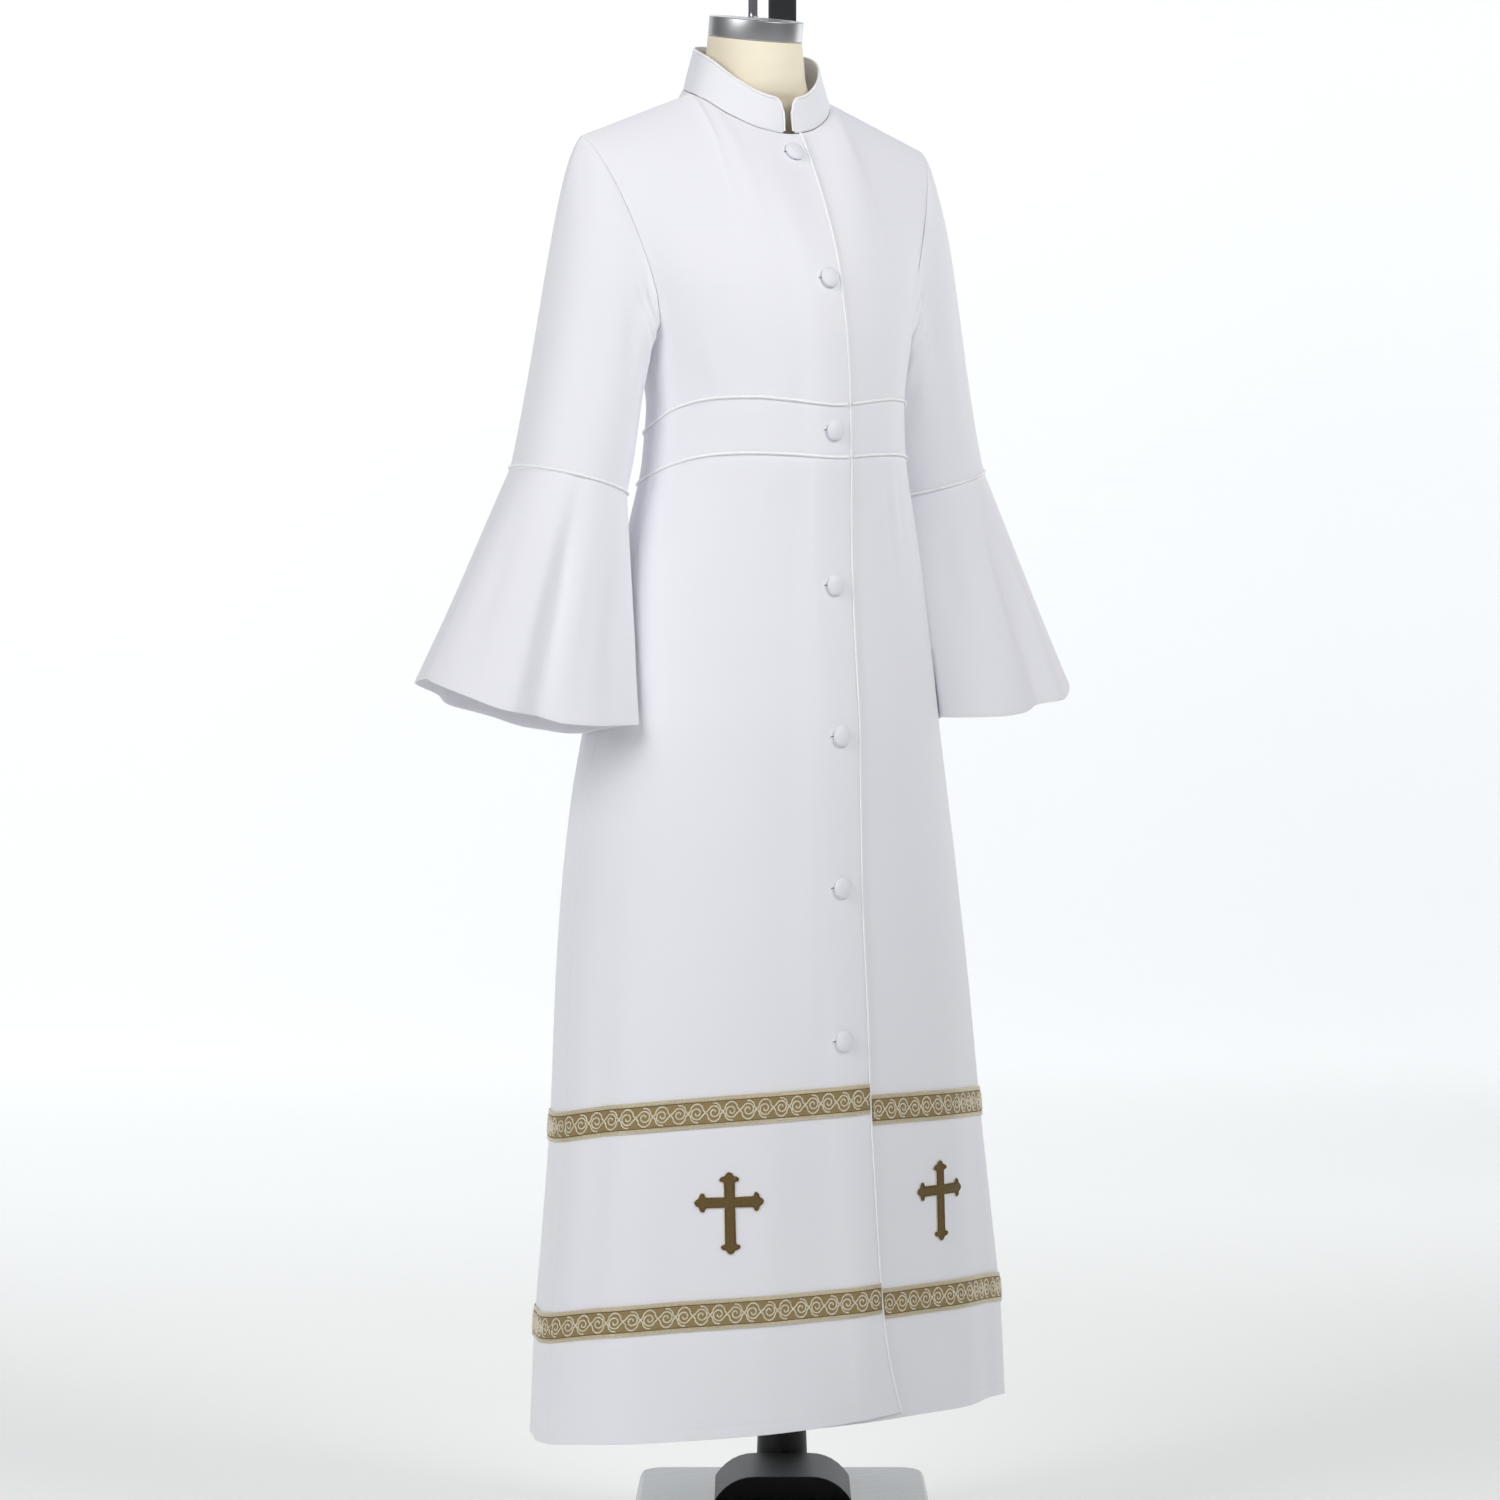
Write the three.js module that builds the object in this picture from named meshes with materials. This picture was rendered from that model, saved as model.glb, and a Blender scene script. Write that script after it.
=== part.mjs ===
// A white choir robe with bell sleeves, worn by a limbless dress form on a black stand.
// Millimetres, +Z up, the robe's front faces -Y and the wearer's left is +X.
// Heights of the robe are measured from its hem line, which hangs HEM_Z above the floor.
import * as THREE from "three";
import { TessellateModifier } from "three/addons/modifiers/TessellateModifier.js";

const HEM_Z = 178;
const WALL = 1.6;
const SEAM_GAP = 0.3;
const OVERLAP = 2.8; // how far the right front lies outside the left one
const LEFT_FRONT_EDGE = -7; // degrees past the centre, under the right front
const SIDE_SEAM = 90;
const PIPING_RADIUS = 1.1;
const CORD_SIDES = 6;
const CORD_STEPS = { frontEdge: 44, collar: 36, sleeve: 30 };
const CORD_SLACK = 0.3; // what a cord's chords may swing past its curve
const FRONT_COLUMNS = 11; // facets across a front panel, and across the back
const BACK_COLUMNS = 20;
const TRIM_GAP = 0.4; // between a panel and what is sewn on it
const CHEST_LEVEL = 1180; // above it the panels turn over the shoulders
const ARMHOLE_LEVEL = 1132;

// Sections of the body of the robe. At each height: half its width, the middle between side
// seams, and how far front and back lie from the axis.
const TRUNK = [
  { height: -30, half: 281, middle: -17, front: 162, back: 181 },
  { height: 0, half: 279, middle: -17, front: 161, back: 180 },
  { height: 100, half: 274, middle: -16, front: 159, back: 176 },
  { height: 200, half: 264, middle: -13, front: 156, back: 171 },
  { height: 320, half: 252, middle: -8, front: 153, back: 166 },
  { height: 450, half: 242, middle: 0, front: 150, back: 163 },
  { height: 568, half: 229, middle: 6, front: 147, back: 162 },
  { height: 650, half: 217, middle: 8, front: 146.5, back: 160 },
  { height: 725, half: 204, middle: 6, front: 146, back: 152 },
  { height: 800, half: 191, middle: -3, front: 140, back: 140 },
  { height: 880, half: 176, middle: -11, front: 134, back: 126 },
  { height: 950, half: 160, middle: -17, front: 132, back: 112 },
  { height: 1011, half: 147, middle: -21, front: 134, back: 104 },
  { height: 1066, half: 144, middle: -22, front: 134, back: 100 },
  { height: 1132, half: 157, middle: -14, front: 133, back: 106 },
  { height: 1180, half: 168, middle: -9, front: 127, back: 114 },
  { height: 1240, half: 176, middle: -4, front: 106, back: 119 },
];

// Soft folds of the skirt: where each runs, how wide it is in degrees, how far it stands out at
// the hem, and the height at which it has died away.
const SKIRT_FOLDS = [
  { angle: -58, width: 11, depth: 4, top: 620 },
  { angle: -30, width: 9, depth: -3, top: 420 },
  { angle: 21, width: 8, depth: -5, top: 700 },
  { angle: 36, width: 8, depth: 5, top: 620 },
  { angle: 53, width: 8, depth: -6, top: 560 },
  { angle: 74, width: 10, depth: 5, top: 640 },
  { angle: 108, width: 10, depth: -6, top: 760 },
  { angle: 130, width: 11, depth: 7, top: 820 },
  { angle: 154, width: 11, depth: -6, top: 700 },
  { angle: 178, width: 12, depth: 6, top: 780 },
  { angle: -156, width: 11, depth: -7, top: 800 },
  { angle: -132, width: 11, depth: 7, top: 760 },
  { angle: -110, width: 10, depth: -6, top: 660 },
];

// Heights of the hem and of the lower edges of the two braids, round the skirt. The bust lifts
// the front, and the right front more than the left.
const RIGHT_LINES = [
  { angle: -180, hem: -14, lowBraid: 88, highBraid: 295 },
  { angle: -140, hem: -13, lowBraid: 89, highBraid: 296 },
  { angle: -100, hem: -8, lowBraid: 95, highBraid: 301.5 },
  { angle: -65, hem: 0, lowBraid: 109, highBraid: 316 },
  { angle: -40, hem: 3.5, lowBraid: 116, highBraid: 323.5 },
  { angle: -20, hem: 6, lowBraid: 118.5, highBraid: 327.5 },
  { angle: 0, hem: 11, lowBraid: 120.5, highBraid: 330 },
  { angle: 16, hem: 16, lowBraid: 123, highBraid: 332 },
];
const LEFT_LINES = [
  { angle: -10, hem: 8, lowBraid: 115, highBraid: 319 },
  { angle: 12, hem: 9, lowBraid: 115, highBraid: 318 },
  { angle: 35, hem: 9, lowBraid: 114.5, highBraid: 315.5 },
  { angle: 57, hem: 8, lowBraid: 110, highBraid: 311 },
  { angle: 90, hem: -4, lowBraid: 98, highBraid: 303 },
  { angle: 140, hem: -13, lowBraid: 89, highBraid: 296 },
  { angle: 180, hem: -14, lowBraid: 88, highBraid: 295 },
];
const BRAID_HEIGHT = 31.5;
const BRAID_THICK = 1.2;

// The arched waistband, the same on both sides.
const WAIST = [
  { angle: -20, low: 1015.2, high: 1071 },
  { angle: 0, low: 1012.3, high: 1066.5 },
  { angle: 20, low: 1015.2, high: 1071 },
  { angle: 37, low: 1016.4, high: 1074 },
  { angle: 52, low: 1015.2, high: 1073.2 },
  { angle: 65, low: 1011.3, high: 1069.5 },
  { angle: 80, low: 1003.5, high: 1061 },
  { angle: 94, low: 995, high: 1050 },
  { angle: 110, low: 987, high: 1041 },
  { angle: 135, low: 983, high: 1036 },
  { angle: 180, low: 982, high: 1035 },
];

// How far the right front's piped edge lies to the wearer's left of the centre.
const FRONT_EDGE = [
  { height: 0, across: 66 },
  { height: 20, across: 60 },
  { height: 65, across: 49 },
  { height: 123, across: 40.5 },
  { height: 237, across: 33.5 },
  { height: 329, across: 28.5 },
  { height: 420, across: 26.5 },
  { height: 555, across: 21.5 },
  { height: 720, across: 19 },
  { height: 927, across: 17.5 },
  { height: 1066, across: 14.7 },
  { height: 1180, across: 9.7 },
];

// The armhole: how far round a panel reaches at each height between underarm and chest, in
// degrees from the centre front and from the centre back.
const ARMHOLE_ROWS = [
  { height: 1137, front: 83, back: 82 },
  { height: 1150, front: 76, back: 73 },
  { height: CHEST_LEVEL, front: 73, back: 66 },
];
const FRONT_REACH = 73;
const BACK_REACH = 66;

// The neckline, where the collar is sewn on, and the collar's top edge.
const NECK_MIDDLE = 15;
const NECK = { half: 84, front: 58, back: 62 };
const COLLAR_TOP = { half: 71, front: 55, back: 60 };
const NECK_HEIGHTS = [
  { angle: -20, base: 1355, top: 1390 },
  { angle: 0, base: 1351, top: 1386 },
  { angle: 20, base: 1355, top: 1390 },
  { angle: 45, base: 1369, top: 1405 },
  { angle: 70, base: 1386, top: 1424 },
  { angle: 90, base: 1394, top: 1434 },
  { angle: 120, base: 1401, top: 1442 },
  { angle: 150, base: 1405, top: 1446 },
  { angle: 180, base: 1406, top: 1447 },
];
const COLLAR_WALL = 2;
const COLLAR_ENDS = { right: -5, left: 10, rounding: 11 };
const SHOULDER_TIP = { across: 213.5, back: 20, height: 1345 };

// The sleeve hangs out from the shoulder and ends in a piped seam, where the bell starts.
const SLEEVE_SEAM = { across: 227, back: 25, height: 988, radius: 62 };
const SLEEVE_LEAN = 14.6;

// The bell's hem: round from its outer side over the front, how far it reaches from its middle,
// and its height.
const BELL_MIDDLE = { across: 290, back: 25 };
const BELL_HEM = [
  { angle: 0, reach: 108, height: 786 },
  { angle: 30, reach: 104, height: 769 },
  { angle: 55, reach: 103, height: 754 },
  { angle: 74, reach: 86, height: 748 },
  { angle: 92, reach: 94, height: 740 },
  { angle: 118, reach: 110, height: 737 },
  { angle: 142, reach: 128, height: 737 },
  { angle: 160, reach: 100, height: 731 },
  { angle: 180, reach: 86, height: 726 },
  { angle: 205, reach: 96, height: 724 },
  { angle: 230, reach: 112, height: 728 },
  { angle: 255, reach: 92, height: 741 },
  { angle: 280, reach: 104, height: 753 },
  { angle: 305, reach: 90, height: 766 },
  { angle: 335, reach: 106, height: 780 },
  { angle: 360, reach: 108, height: 786 },
];
const SLEEVE_CLEAR = 4; // between a hanging sleeve and the skirt beside it

const BUTTON_HEIGHTS = [1331, 1197.6, 1040.4, 880, 724, 567, 408];
const BUTTON_ACROSS = -3;
// The crosses: how far from the centre, the height of each one's crossing, and their own sizes.
const CROSS = { across: 131, right: 247.3, left: 242.5 };
const CROSS_FORM = { bar: 4.7, arm: 33.5, rise: 30.5, fall: 53 };
// Half an arm's end: how far each corner lies from the arm's tip, and from its middle line.
const CROSS_END = [
  { back: 11.2, beside: 4.7 },
  { back: 8.6, beside: 6.8 },
  { back: 8.5, beside: 8.4 },
  { back: 7.3, beside: 9.2 },
  { back: 5.9, beside: 8.6 },
  { back: 4.4, beside: 4.6 },
  { back: 1.2, beside: 2.4 },
];
const CROSS_THICK = 0.9;
const CROSS_GAP = 0.7;

// The dress form, from the bottom of the hips to the top of the neck. Each section: half width,
// depths before and behind the axis of that section, and where that axis lies.
const FORM = [
  { height: 640, half: 150, front: 100, back: 112, middle: 0 },
  { height: 655, half: 165, front: 112, back: 124, middle: 0 },
  { height: 725, half: 172, front: 118, back: 128, middle: 0 },
  { height: 800, half: 168, front: 116, back: 122, middle: -4 },
  { height: 880, half: 156, front: 108, back: 110, middle: -10 },
  { height: 950, half: 138, front: 100, back: 96, middle: -14 },
  { height: 1011, half: 124, front: 96, back: 92, middle: -16 },
  { height: 1066, half: 122, front: 98, back: 92, middle: -14 },
  { height: 1132, half: 136, front: 104, back: 98, middle: -8 },
  { height: 1180, half: 144, front: 100, back: 104, middle: -2 },
  { height: 1240, half: 148, front: 80, back: 96, middle: 4 },
  { height: 1290, half: 152, front: 56, back: 76, middle: 12 },
  { height: 1320, half: 155, front: 46, back: 58, middle: 16 },
  { height: 1342.7, half: 152, front: 40, back: 40, middle: 18 },
  { height: 1356.7, half: 138, front: 36, back: 32, middle: 18 },
  { height: 1372.7, half: 108, front: 36, back: 31, middle: 18 },
  { height: 1384.7, half: 80, front: 40, back: 38, middle: 19 },
  { height: 1396.7, half: 62, front: 47, back: 50, middle: 19.5 },
  { height: 1412, half: 55, front: 50, back: 51, middle: 19.5 },
  { height: 1432, half: 52.5, front: 50.5, back: 51, middle: 19.5 },
  { height: 1455, half: 50, front: 49.5, back: 49.5, middle: 19.5 },
];
const FORM_COLUMNS = 22;
const NECK_TILT = 9; // the form's cap leans forward
const TILT = { from: 1400, to: 1440 };
const CAP = { radius: 50, height: 21, middle: 19.5, foot: 1455.4, sides: 32 };

// The stand. It faces the corner of the robe, so its own frame is turned about the axis.
const STAND_TURN = -33;
const BASE = { width: 312, depth: 560, high: 60, draft: 14, middle: 20, front: -235, corner: 26 };
const BASE_LIP = { drop: 6, grow: 3 }; // the rounded edge of the base's top plate
const POST = { across: 20, back: 300, side: 31, top: 1600 };
const POST_SLEEVE = { foot: 29, waist: 25.5, waistHeight: 90, height: 150, lip: 1, drop: 2 };
// flat and shoulder are the shares of its half width where its top is level and where it bends.
const HOUSING = { width: 150, high: 26, from: 118, length: 150, flat: 0.4, shoulder: 0.78 };
const ROD = { across: -12.5, back: 18, radius: 5.5, clear: 1.9 }; // clear: room over the tilted cap
const ARM = { side: 25, height: 1572, skew: 1.8 }; // skew: room for the arm's slant at the post

const radians = THREE.MathUtils.degToRad;
const sin = (degrees) => Math.sin(radians(degrees));
const cos = (degrees) => Math.cos(radians(degrees));
const lerp = THREE.MathUtils.lerp;
const smooth = THREE.MathUtils.smoothstep;

// The value of one column of a table, on a monotone cubic through its rows.
function along(table, key, column, at) {
  const n = table.length;
  if (at <= table[0][key]) return table[0][column];
  if (at >= table[n - 1][key]) return table[n - 1][column];
  let k = 0;
  while (table[k + 1][key] < at) k++;
  const slope = (i) => (table[i + 1][column] - table[i][column]) / (table[i + 1][key] - table[i][key]);
  const tangent = (i) => {
    if (i === 0 || i === n - 1) return i === 0 ? slope(0) : slope(n - 2);
    const before = slope(i - 1);
    const after = slope(i);
    return before * after <= 0 ? 0 : (2 * before * after) / (before + after);
  };
  const span = table[k + 1][key] - table[k][key];
  const t = (at - table[k][key]) / span;
  const a = (1 + 2 * t) * (1 - t) ** 2;
  const b = t * (1 - t) ** 2;
  const c = t * t * (3 - 2 * t);
  const d = t * t * (t - 1);
  return (
    a * table[k][column] + b * span * tangent(k) + c * table[k + 1][column] + d * span * tangent(k + 1)
  );
}

const turnTo = (angle) => ((angle + 540) % 360) - 180;

// How far the skirt's folds move its surface out at an angle and height.
function foldDepth(angle, height) {
  return SKIRT_FOLDS.reduce((sum, fold) => {
    const beside = turnTo(angle - fold.angle) / fold.width;
    const fade = 1 - smooth(height, 0, fold.top);
    return sum + fold.depth * fade * Math.exp(-beside * beside);
  }, 0);
}

// A point of the robe's body at an angle round it, 0 at the centre front and 90 at its left side.
function trunk(angle, height, out = 0) {
  const half = along(TRUNK, "height", "half", height) + out;
  const middle = along(TRUNK, "height", "middle", height);
  const front = along(TRUNK, "height", "front", height) + middle + out;
  const back = along(TRUNK, "height", "back", height) - middle + out;
  const fold = 1 + foldDepth(angle, height) / half;
  const depth = cos(angle) > 0 ? front : back;
  return new THREE.Vector3(fold * half * sin(angle), middle - fold * depth * cos(angle), height);
}

// The neckline or the collar's top, at an angle round the neck.
function neckPoint(size, column, angle) {
  const depth = cos(angle) > 0 ? size.front : size.back;
  const height = along(NECK_HEIGHTS, "angle", column, Math.abs(turnTo(angle)));
  return new THREE.Vector3(size.half * sin(angle), NECK_MIDDLE - depth * cos(angle), height);
}

// The upper edge of a front or back panel: the neckline and then the shoulder seam. share runs
// from 0 at the centre to 1 at the shoulder tip.
const NECK_SHARE = 0.42;
function upperEdge(share, side, isFront) {
  if (share < NECK_SHARE) {
    const round = (90 * share) / NECK_SHARE;
    const point = neckPoint(NECK, "base", isFront ? round : 180 - round);
    return point.setX(point.x * side);
  }
  const start = neckPoint(NECK, "base", 90);
  const tip = new THREE.Vector3(SHOULDER_TIP.across, SHOULDER_TIP.back, SHOULDER_TIP.height);
  const point = start.lerp(tip, (share - NECK_SHARE) / (1 - NECK_SHARE));
  const apart = isFront ? -SEAM_GAP / 2 : SEAM_GAP / 2;
  return point.set(point.x * side, point.y + apart, point.z);
}

// Which way a panel comes up to its upper edge, times the pull of that way on its curve.
const ARRIVAL = [
  { share: -0.42, frontIn: 2, frontBack: 52, frontUp: 24, backIn: 2, backFront: 50, backUp: 22 },
  { share: 0, frontIn: 0, frontBack: 33, frontUp: 50, backIn: 0, backFront: 22, backUp: 52 },
  { share: 0.42, frontIn: 2, frontBack: 52, frontUp: 24, backIn: 2, backFront: 50, backUp: 22 },
  { share: 1, frontIn: 8, frontBack: 40, frontUp: 20, backIn: 8, backFront: 38, backUp: 20 },
];

// A point between chest and upper edge. signed is the panel's angle at the chest line.
function overShoulder(signed, rise, isFront) {
  const side = signed < 0 ? -1 : 1;
  const share = Math.min(1, Math.abs(signed) / (isFront ? FRONT_REACH : BACK_REACH));
  const angle = isFront ? signed : 180 - signed;
  const low = trunk(angle, CHEST_LEVEL);
  const high = upperEdge(share, side, isFront);
  const pull = isFront ? 56 : 62;
  const away = trunk(angle, CHEST_LEVEL + 8).sub(trunk(angle, CHEST_LEVEL - 8)).normalize();
  const spread = new THREE.Vector3(side * 4 * share, isFront ? -2 : 4, 0);
  const second = low.clone().addScaledVector(away, pull).add(spread);
  const read = (column) => along(ARRIVAL, "share", column, share);
  const arrive = isFront
    ? new THREE.Vector3(side * read("frontIn"), read("frontBack"), read("frontUp"))
    : new THREE.Vector3(side * read("backIn"), -read("backFront"), read("backUp"));
  const third = high.clone().sub(arrive);
  return new THREE.CubicBezierCurve3(low, second, third, high).getPoint(rise);
}

// The right front lies outside the left one near the centre and meets the back at the side.
const rightOut = (angle) => OVERLAP * smooth(angle, -17, -7.5);

const edgeAngle = (height) => {
  const level = Math.min(height, CHEST_LEVEL);
  const across = along(FRONT_EDGE, "height", "across", level);
  return THREE.MathUtils.radToDeg(Math.asin(across / along(TRUNK, "height", "half", level)));
};

// Unit normals of a grid of points, pointing to the right of its rows as they rise.
function gridNormals(grid, closed) {
  const rows = grid.length;
  const count = grid[0].length;
  const column = (j) => (closed ? (j + count) % count : THREE.MathUtils.clamp(j, 0, count - 1));
  return grid.map((row, i) =>
    row.map((_, j) => {
      const across = row[column(j + 1)].clone().sub(row[column(j - 1)]);
      const up = grid[Math.min(i + 1, rows - 1)][j].clone().sub(grid[Math.max(i - 1, 0)][j]);
      return across.cross(up).normalize();
    }),
  );
}

// A closed cloth wall whose outer face is a grid. Rows rise and columns run so that across x up
// points out. bend may turn the direction in which the wall gets its thickness.
function clothWall(grid, { closed = false, thick = WALL, bend = null, lift = 0 } = {}) {
  const normals = gridNormals(grid, closed);
  const rows = grid.length;
  const count = grid[0].length;
  const points = [];
  const index = (i, j, inner) => (inner ? rows * count : 0) + i * count + (closed ? j % count : j);
  for (const depth of [lift, lift - thick])
    grid.forEach((row, i) =>
      row.forEach((point, j) => {
        const normal = bend ? bend(i, j, normals[i][j].clone()) : normals[i][j];
        points.push(point.clone().addScaledVector(normal, depth));
      }),
    );
  const faces = [];
  const quad = (a, b, c, d) => faces.push(a, b, c, a, c, d);
  const spans = closed ? count : count - 1;
  for (let i = 0; i < rows - 1; i++)
    for (let j = 0; j < spans; j++) {
      quad(index(i, j), index(i, j + 1), index(i + 1, j + 1), index(i + 1, j));
      quad(index(i, j, 1), index(i + 1, j, 1), index(i + 1, j + 1, 1), index(i, j + 1, 1));
    }
  for (let j = 0; j < spans; j++) {
    quad(index(0, j), index(0, j, 1), index(0, j + 1, 1), index(0, j + 1));
    const top = rows - 1;
    quad(index(top, j), index(top, j + 1), index(top, j + 1, 1), index(top, j, 1));
  }
  if (!closed)
    for (let i = 0; i < rows - 1; i++) {
      quad(index(i, 0), index(i + 1, 0), index(i + 1, 0, 1), index(i, 0, 1));
      const last = count - 1;
      quad(index(i, last), index(i, last, 1), index(i + 1, last, 1), index(i + 1, last));
    }
  const geometry = new THREE.BufferGeometry().setFromPoints(points);
  geometry.setIndex(faces);
  geometry.computeVertexNormals();
  return geometry;
}

// A piping cord on a run of points.
function cordGeometry(points, steps) {
  const section = new THREE.Shape();
  section.absarc(0, 0, PIPING_RADIUS, 0, 2 * Math.PI, false);
  const curve = new THREE.CatmullRomCurve3(points);
  return new THREE.ExtrudeGeometry(section, {
    steps,
    curveSegments: CORD_SIDES / 2,
    bevelEnabled: false,
    extrudePath: curve,
  });
}

const evenly = (from, to, count) => Array.from({ length: count + 1 }, (_, k) => lerp(from, to, k / count));

// Panels
// Each panel has its span of angles at a height, the lines that bound it, and the outward shift
// of its face.
const PANELS = {
  right: {
    from: (height) => -SIDE_SEAM + seamAngle(height),
    to: (height) => edgeAngle(height),
    lines: RIGHT_LINES,
    out: rightOut,
    columns: FRONT_COLUMNS,
  },
  left: {
    from: () => LEFT_FRONT_EDGE,
    to: (height) => SIDE_SEAM - seamAngle(height),
    lines: LEFT_LINES,
    out: () => 0,
    columns: FRONT_COLUMNS,
  },
  back: {
    from: (height) => SIDE_SEAM + seamAngle(height),
    to: (height) => 360 - SIDE_SEAM - seamAngle(height),
    lines: null,
    out: () => 0,
    columns: BACK_COLUMNS,
  },
};

function seamAngle(height) {
  const half = along(TRUNK, "height", "half", height);
  return THREE.MathUtils.radToDeg(SEAM_GAP / 2 / half);
}

function lineHeight(panel, column, angle) {
  const turned = turnTo(angle);
  if (panel.lines) return along(panel.lines, "angle", column, turned);
  return along(turned < 0 ? RIGHT_LINES : LEFT_LINES, "angle", column, turned);
}

const waistHeight = (column, angle) => along(WAIST, "angle", column, Math.abs(turnTo(angle)));

// A row of a panel. level gives the height at each angle, and guess the height whose span is used.
function panelRow(panel, guess, level) {
  const angles = evenly(panel.from(guess), panel.to(guess), panel.columns);
  return angles.map((angle) => {
    const height = level(angle);
    return trunk(angle, height, panel.out(turnTo(angle)));
  });
}

// Mean heights of the lines that a panel's rows follow.
const MEAN = { lowBraid: 118, highBraid: 325, waistLow: 1012, waistHigh: 1066 };
const SKIRT_STEPS = 6;
function skirtGrid(panel) {
  const line = (column, more) => (angle) => lineHeight(panel, column, angle) + more;
  const hem = line("hem", 0);
  const low = line("lowBraid", 0);
  const lowTop = line("lowBraid", BRAID_HEIGHT);
  const high = line("highBraid", 0);
  const highTop = line("highBraid", BRAID_HEIGHT);
  const between = (below, above) => (angle) => (below(angle) + above(angle)) / 2;
  const waist = (angle) => waistHeight("low", angle) - SEAM_GAP / 2;
  const rows = [
    panelRow(panel, 0, hem),
    panelRow(panel, MEAN.lowBraid / 2, between(hem, low)),
    panelRow(panel, MEAN.lowBraid, low),
    panelRow(panel, MEAN.lowBraid + BRAID_HEIGHT, lowTop),
    panelRow(panel, (MEAN.lowBraid + BRAID_HEIGHT + MEAN.highBraid) / 2, between(lowTop, high)),
    panelRow(panel, MEAN.highBraid, high),
    panelRow(panel, MEAN.highBraid + BRAID_HEIGHT, highTop),
  ];
  for (let k = 1; k <= SKIRT_STEPS; k++) {
    const share = k / SKIRT_STEPS;
    const guess = lerp(MEAN.highBraid + BRAID_HEIGHT, MEAN.waistLow, share);
    rows.push(panelRow(panel, guess, (angle) => lerp(highTop(angle), waist(angle), share)));
  }
  return rows;
}
const BRAID_ROWS = { low: [2, 3], high: [5, 6] };

// The band's columns pass from the skirt's, at its lower edge, to the bodice's at its upper one.
function bandGrid(panel, name) {
  return [0, 0.5, 1].map((share) => {
    const guess = lerp(MEAN.waistLow, MEAN.waistHigh, share);
    const even = evenly(panel.from(guess), panel.to(guess), panel.columns);
    const crowded = bodiceColumns(name, panel.from(guess), panel.to(guess));
    return even.map((angle, j) => {
      const a = lerp(angle, crowded[j], share);
      const low = waistHeight("low", a) + SEAM_GAP / 2;
      const height = lerp(low, waistHeight("high", a) - SEAM_GAP / 2, share);
      return trunk(a, height, panel.out(turnTo(a)));
    });
  });
}

// The bodice rises from the waistband to the underarm, narrows along the armhole to the chest
// line, and turns over the shoulder.
const BODICE_LOW = 3;
const SHOULDER_ROWS = 6;
const NECK_CROWD = 1.3; // the columns stand closer where they end at the neckline
function bodiceColumns(name, from, to) {
  const crowd = (share) => Math.sign(share) * Math.abs(share) ** NECK_CROWD;
  if (name === "back") return evenly(-1, 1, BACK_COLUMNS).map((s) => lerp(from, to, (1 + crowd(s)) / 2));
  if (name === "left") return evenly(0, 1, FRONT_COLUMNS).map((s) => lerp(from, to, crowd(s)));
  return evenly(1, 0, FRONT_COLUMNS).map((s) => lerp(to, from, crowd(s)));
}

function bodiceGrid(panel, name) {
  const rows = [];
  for (let k = 0; k <= BODICE_LOW; k++) {
    const share = k / BODICE_LOW;
    const low = (a) => waistHeight("high", a) + SEAM_GAP / 2;
    const guess = lerp(MEAN.waistHigh, ARMHOLE_LEVEL, share);
    const angles = bodiceColumns(name, panel.from(guess), panel.to(guess));
    rows.push(angles.map((a) => trunk(a, lerp(low(a), ARMHOLE_LEVEL, share), panel.out(turnTo(a)))));
  }
  const span = (row) => {
    if (name === "back") return [180 - row.back, 180 + row.back];
    return name === "right" ? [-row.front, edgeAngle(row.height)] : [LEFT_FRONT_EDGE, row.front];
  };
  for (const row of ARMHOLE_ROWS) {
    const [from, to] = span(row);
    rows.push(bodiceColumns(name, from, to).map((a) => trunk(a, row.height, panel.out(turnTo(a)))));
  }
  const [from, to] = span(ARMHOLE_ROWS[ARMHOLE_ROWS.length - 1]);
  for (let k = 1; k <= SHOULDER_ROWS; k++)
    rows.push(
      bodiceColumns(name, from, to).map((a) => {
        const rise = k / SHOULDER_ROWS;
        if (name === "back") return overShoulder(180 - a, rise, false);
        const point = overShoulder(a, rise, true);
        const out = panel.out(a);
        if (!out) return point;
        const beside = overShoulder(a + 1, rise, true).sub(overShoulder(a - 1, rise, true));
        const above = overShoulder(a, rise + 0.02, true).sub(overShoulder(a, rise - 0.02, true));
        const outward = beside.cross(above).normalize();
        if (k === SHOULDER_ROWS) outward.setZ(0);
        return point.addScaledVector(outward, out);
      }),
    );
  return rows;
}

// Along a side seam, and along the shoulder seam, both walls end on one upright face.
function seamBend(grid) {
  const top = grid.length - 1;
  const last = grid[0].length - 1;
  return (i, j, normal) => {
    const point = grid[i][j];
    const onShoulder = point.z > SHOULDER_TIP.height - 1 && i === top && Math.abs(point.x) > NECK.half - 1;
    const onSide = (j === 0 || j === last) && Math.abs(normal.x) > 0.8;
    return onShoulder || onSide ? normal.setY(0).normalize() : normal;
  };
}

const grids = { skirt: {}, band: {}, bodice: {} };
for (const [name, panel] of Object.entries(PANELS)) {
  grids.skirt[name] = skirtGrid(panel);
  grids.band[name] = bandGrid(panel, name);
  grids.bodice[name] = bodiceGrid(panel, name);
}

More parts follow.
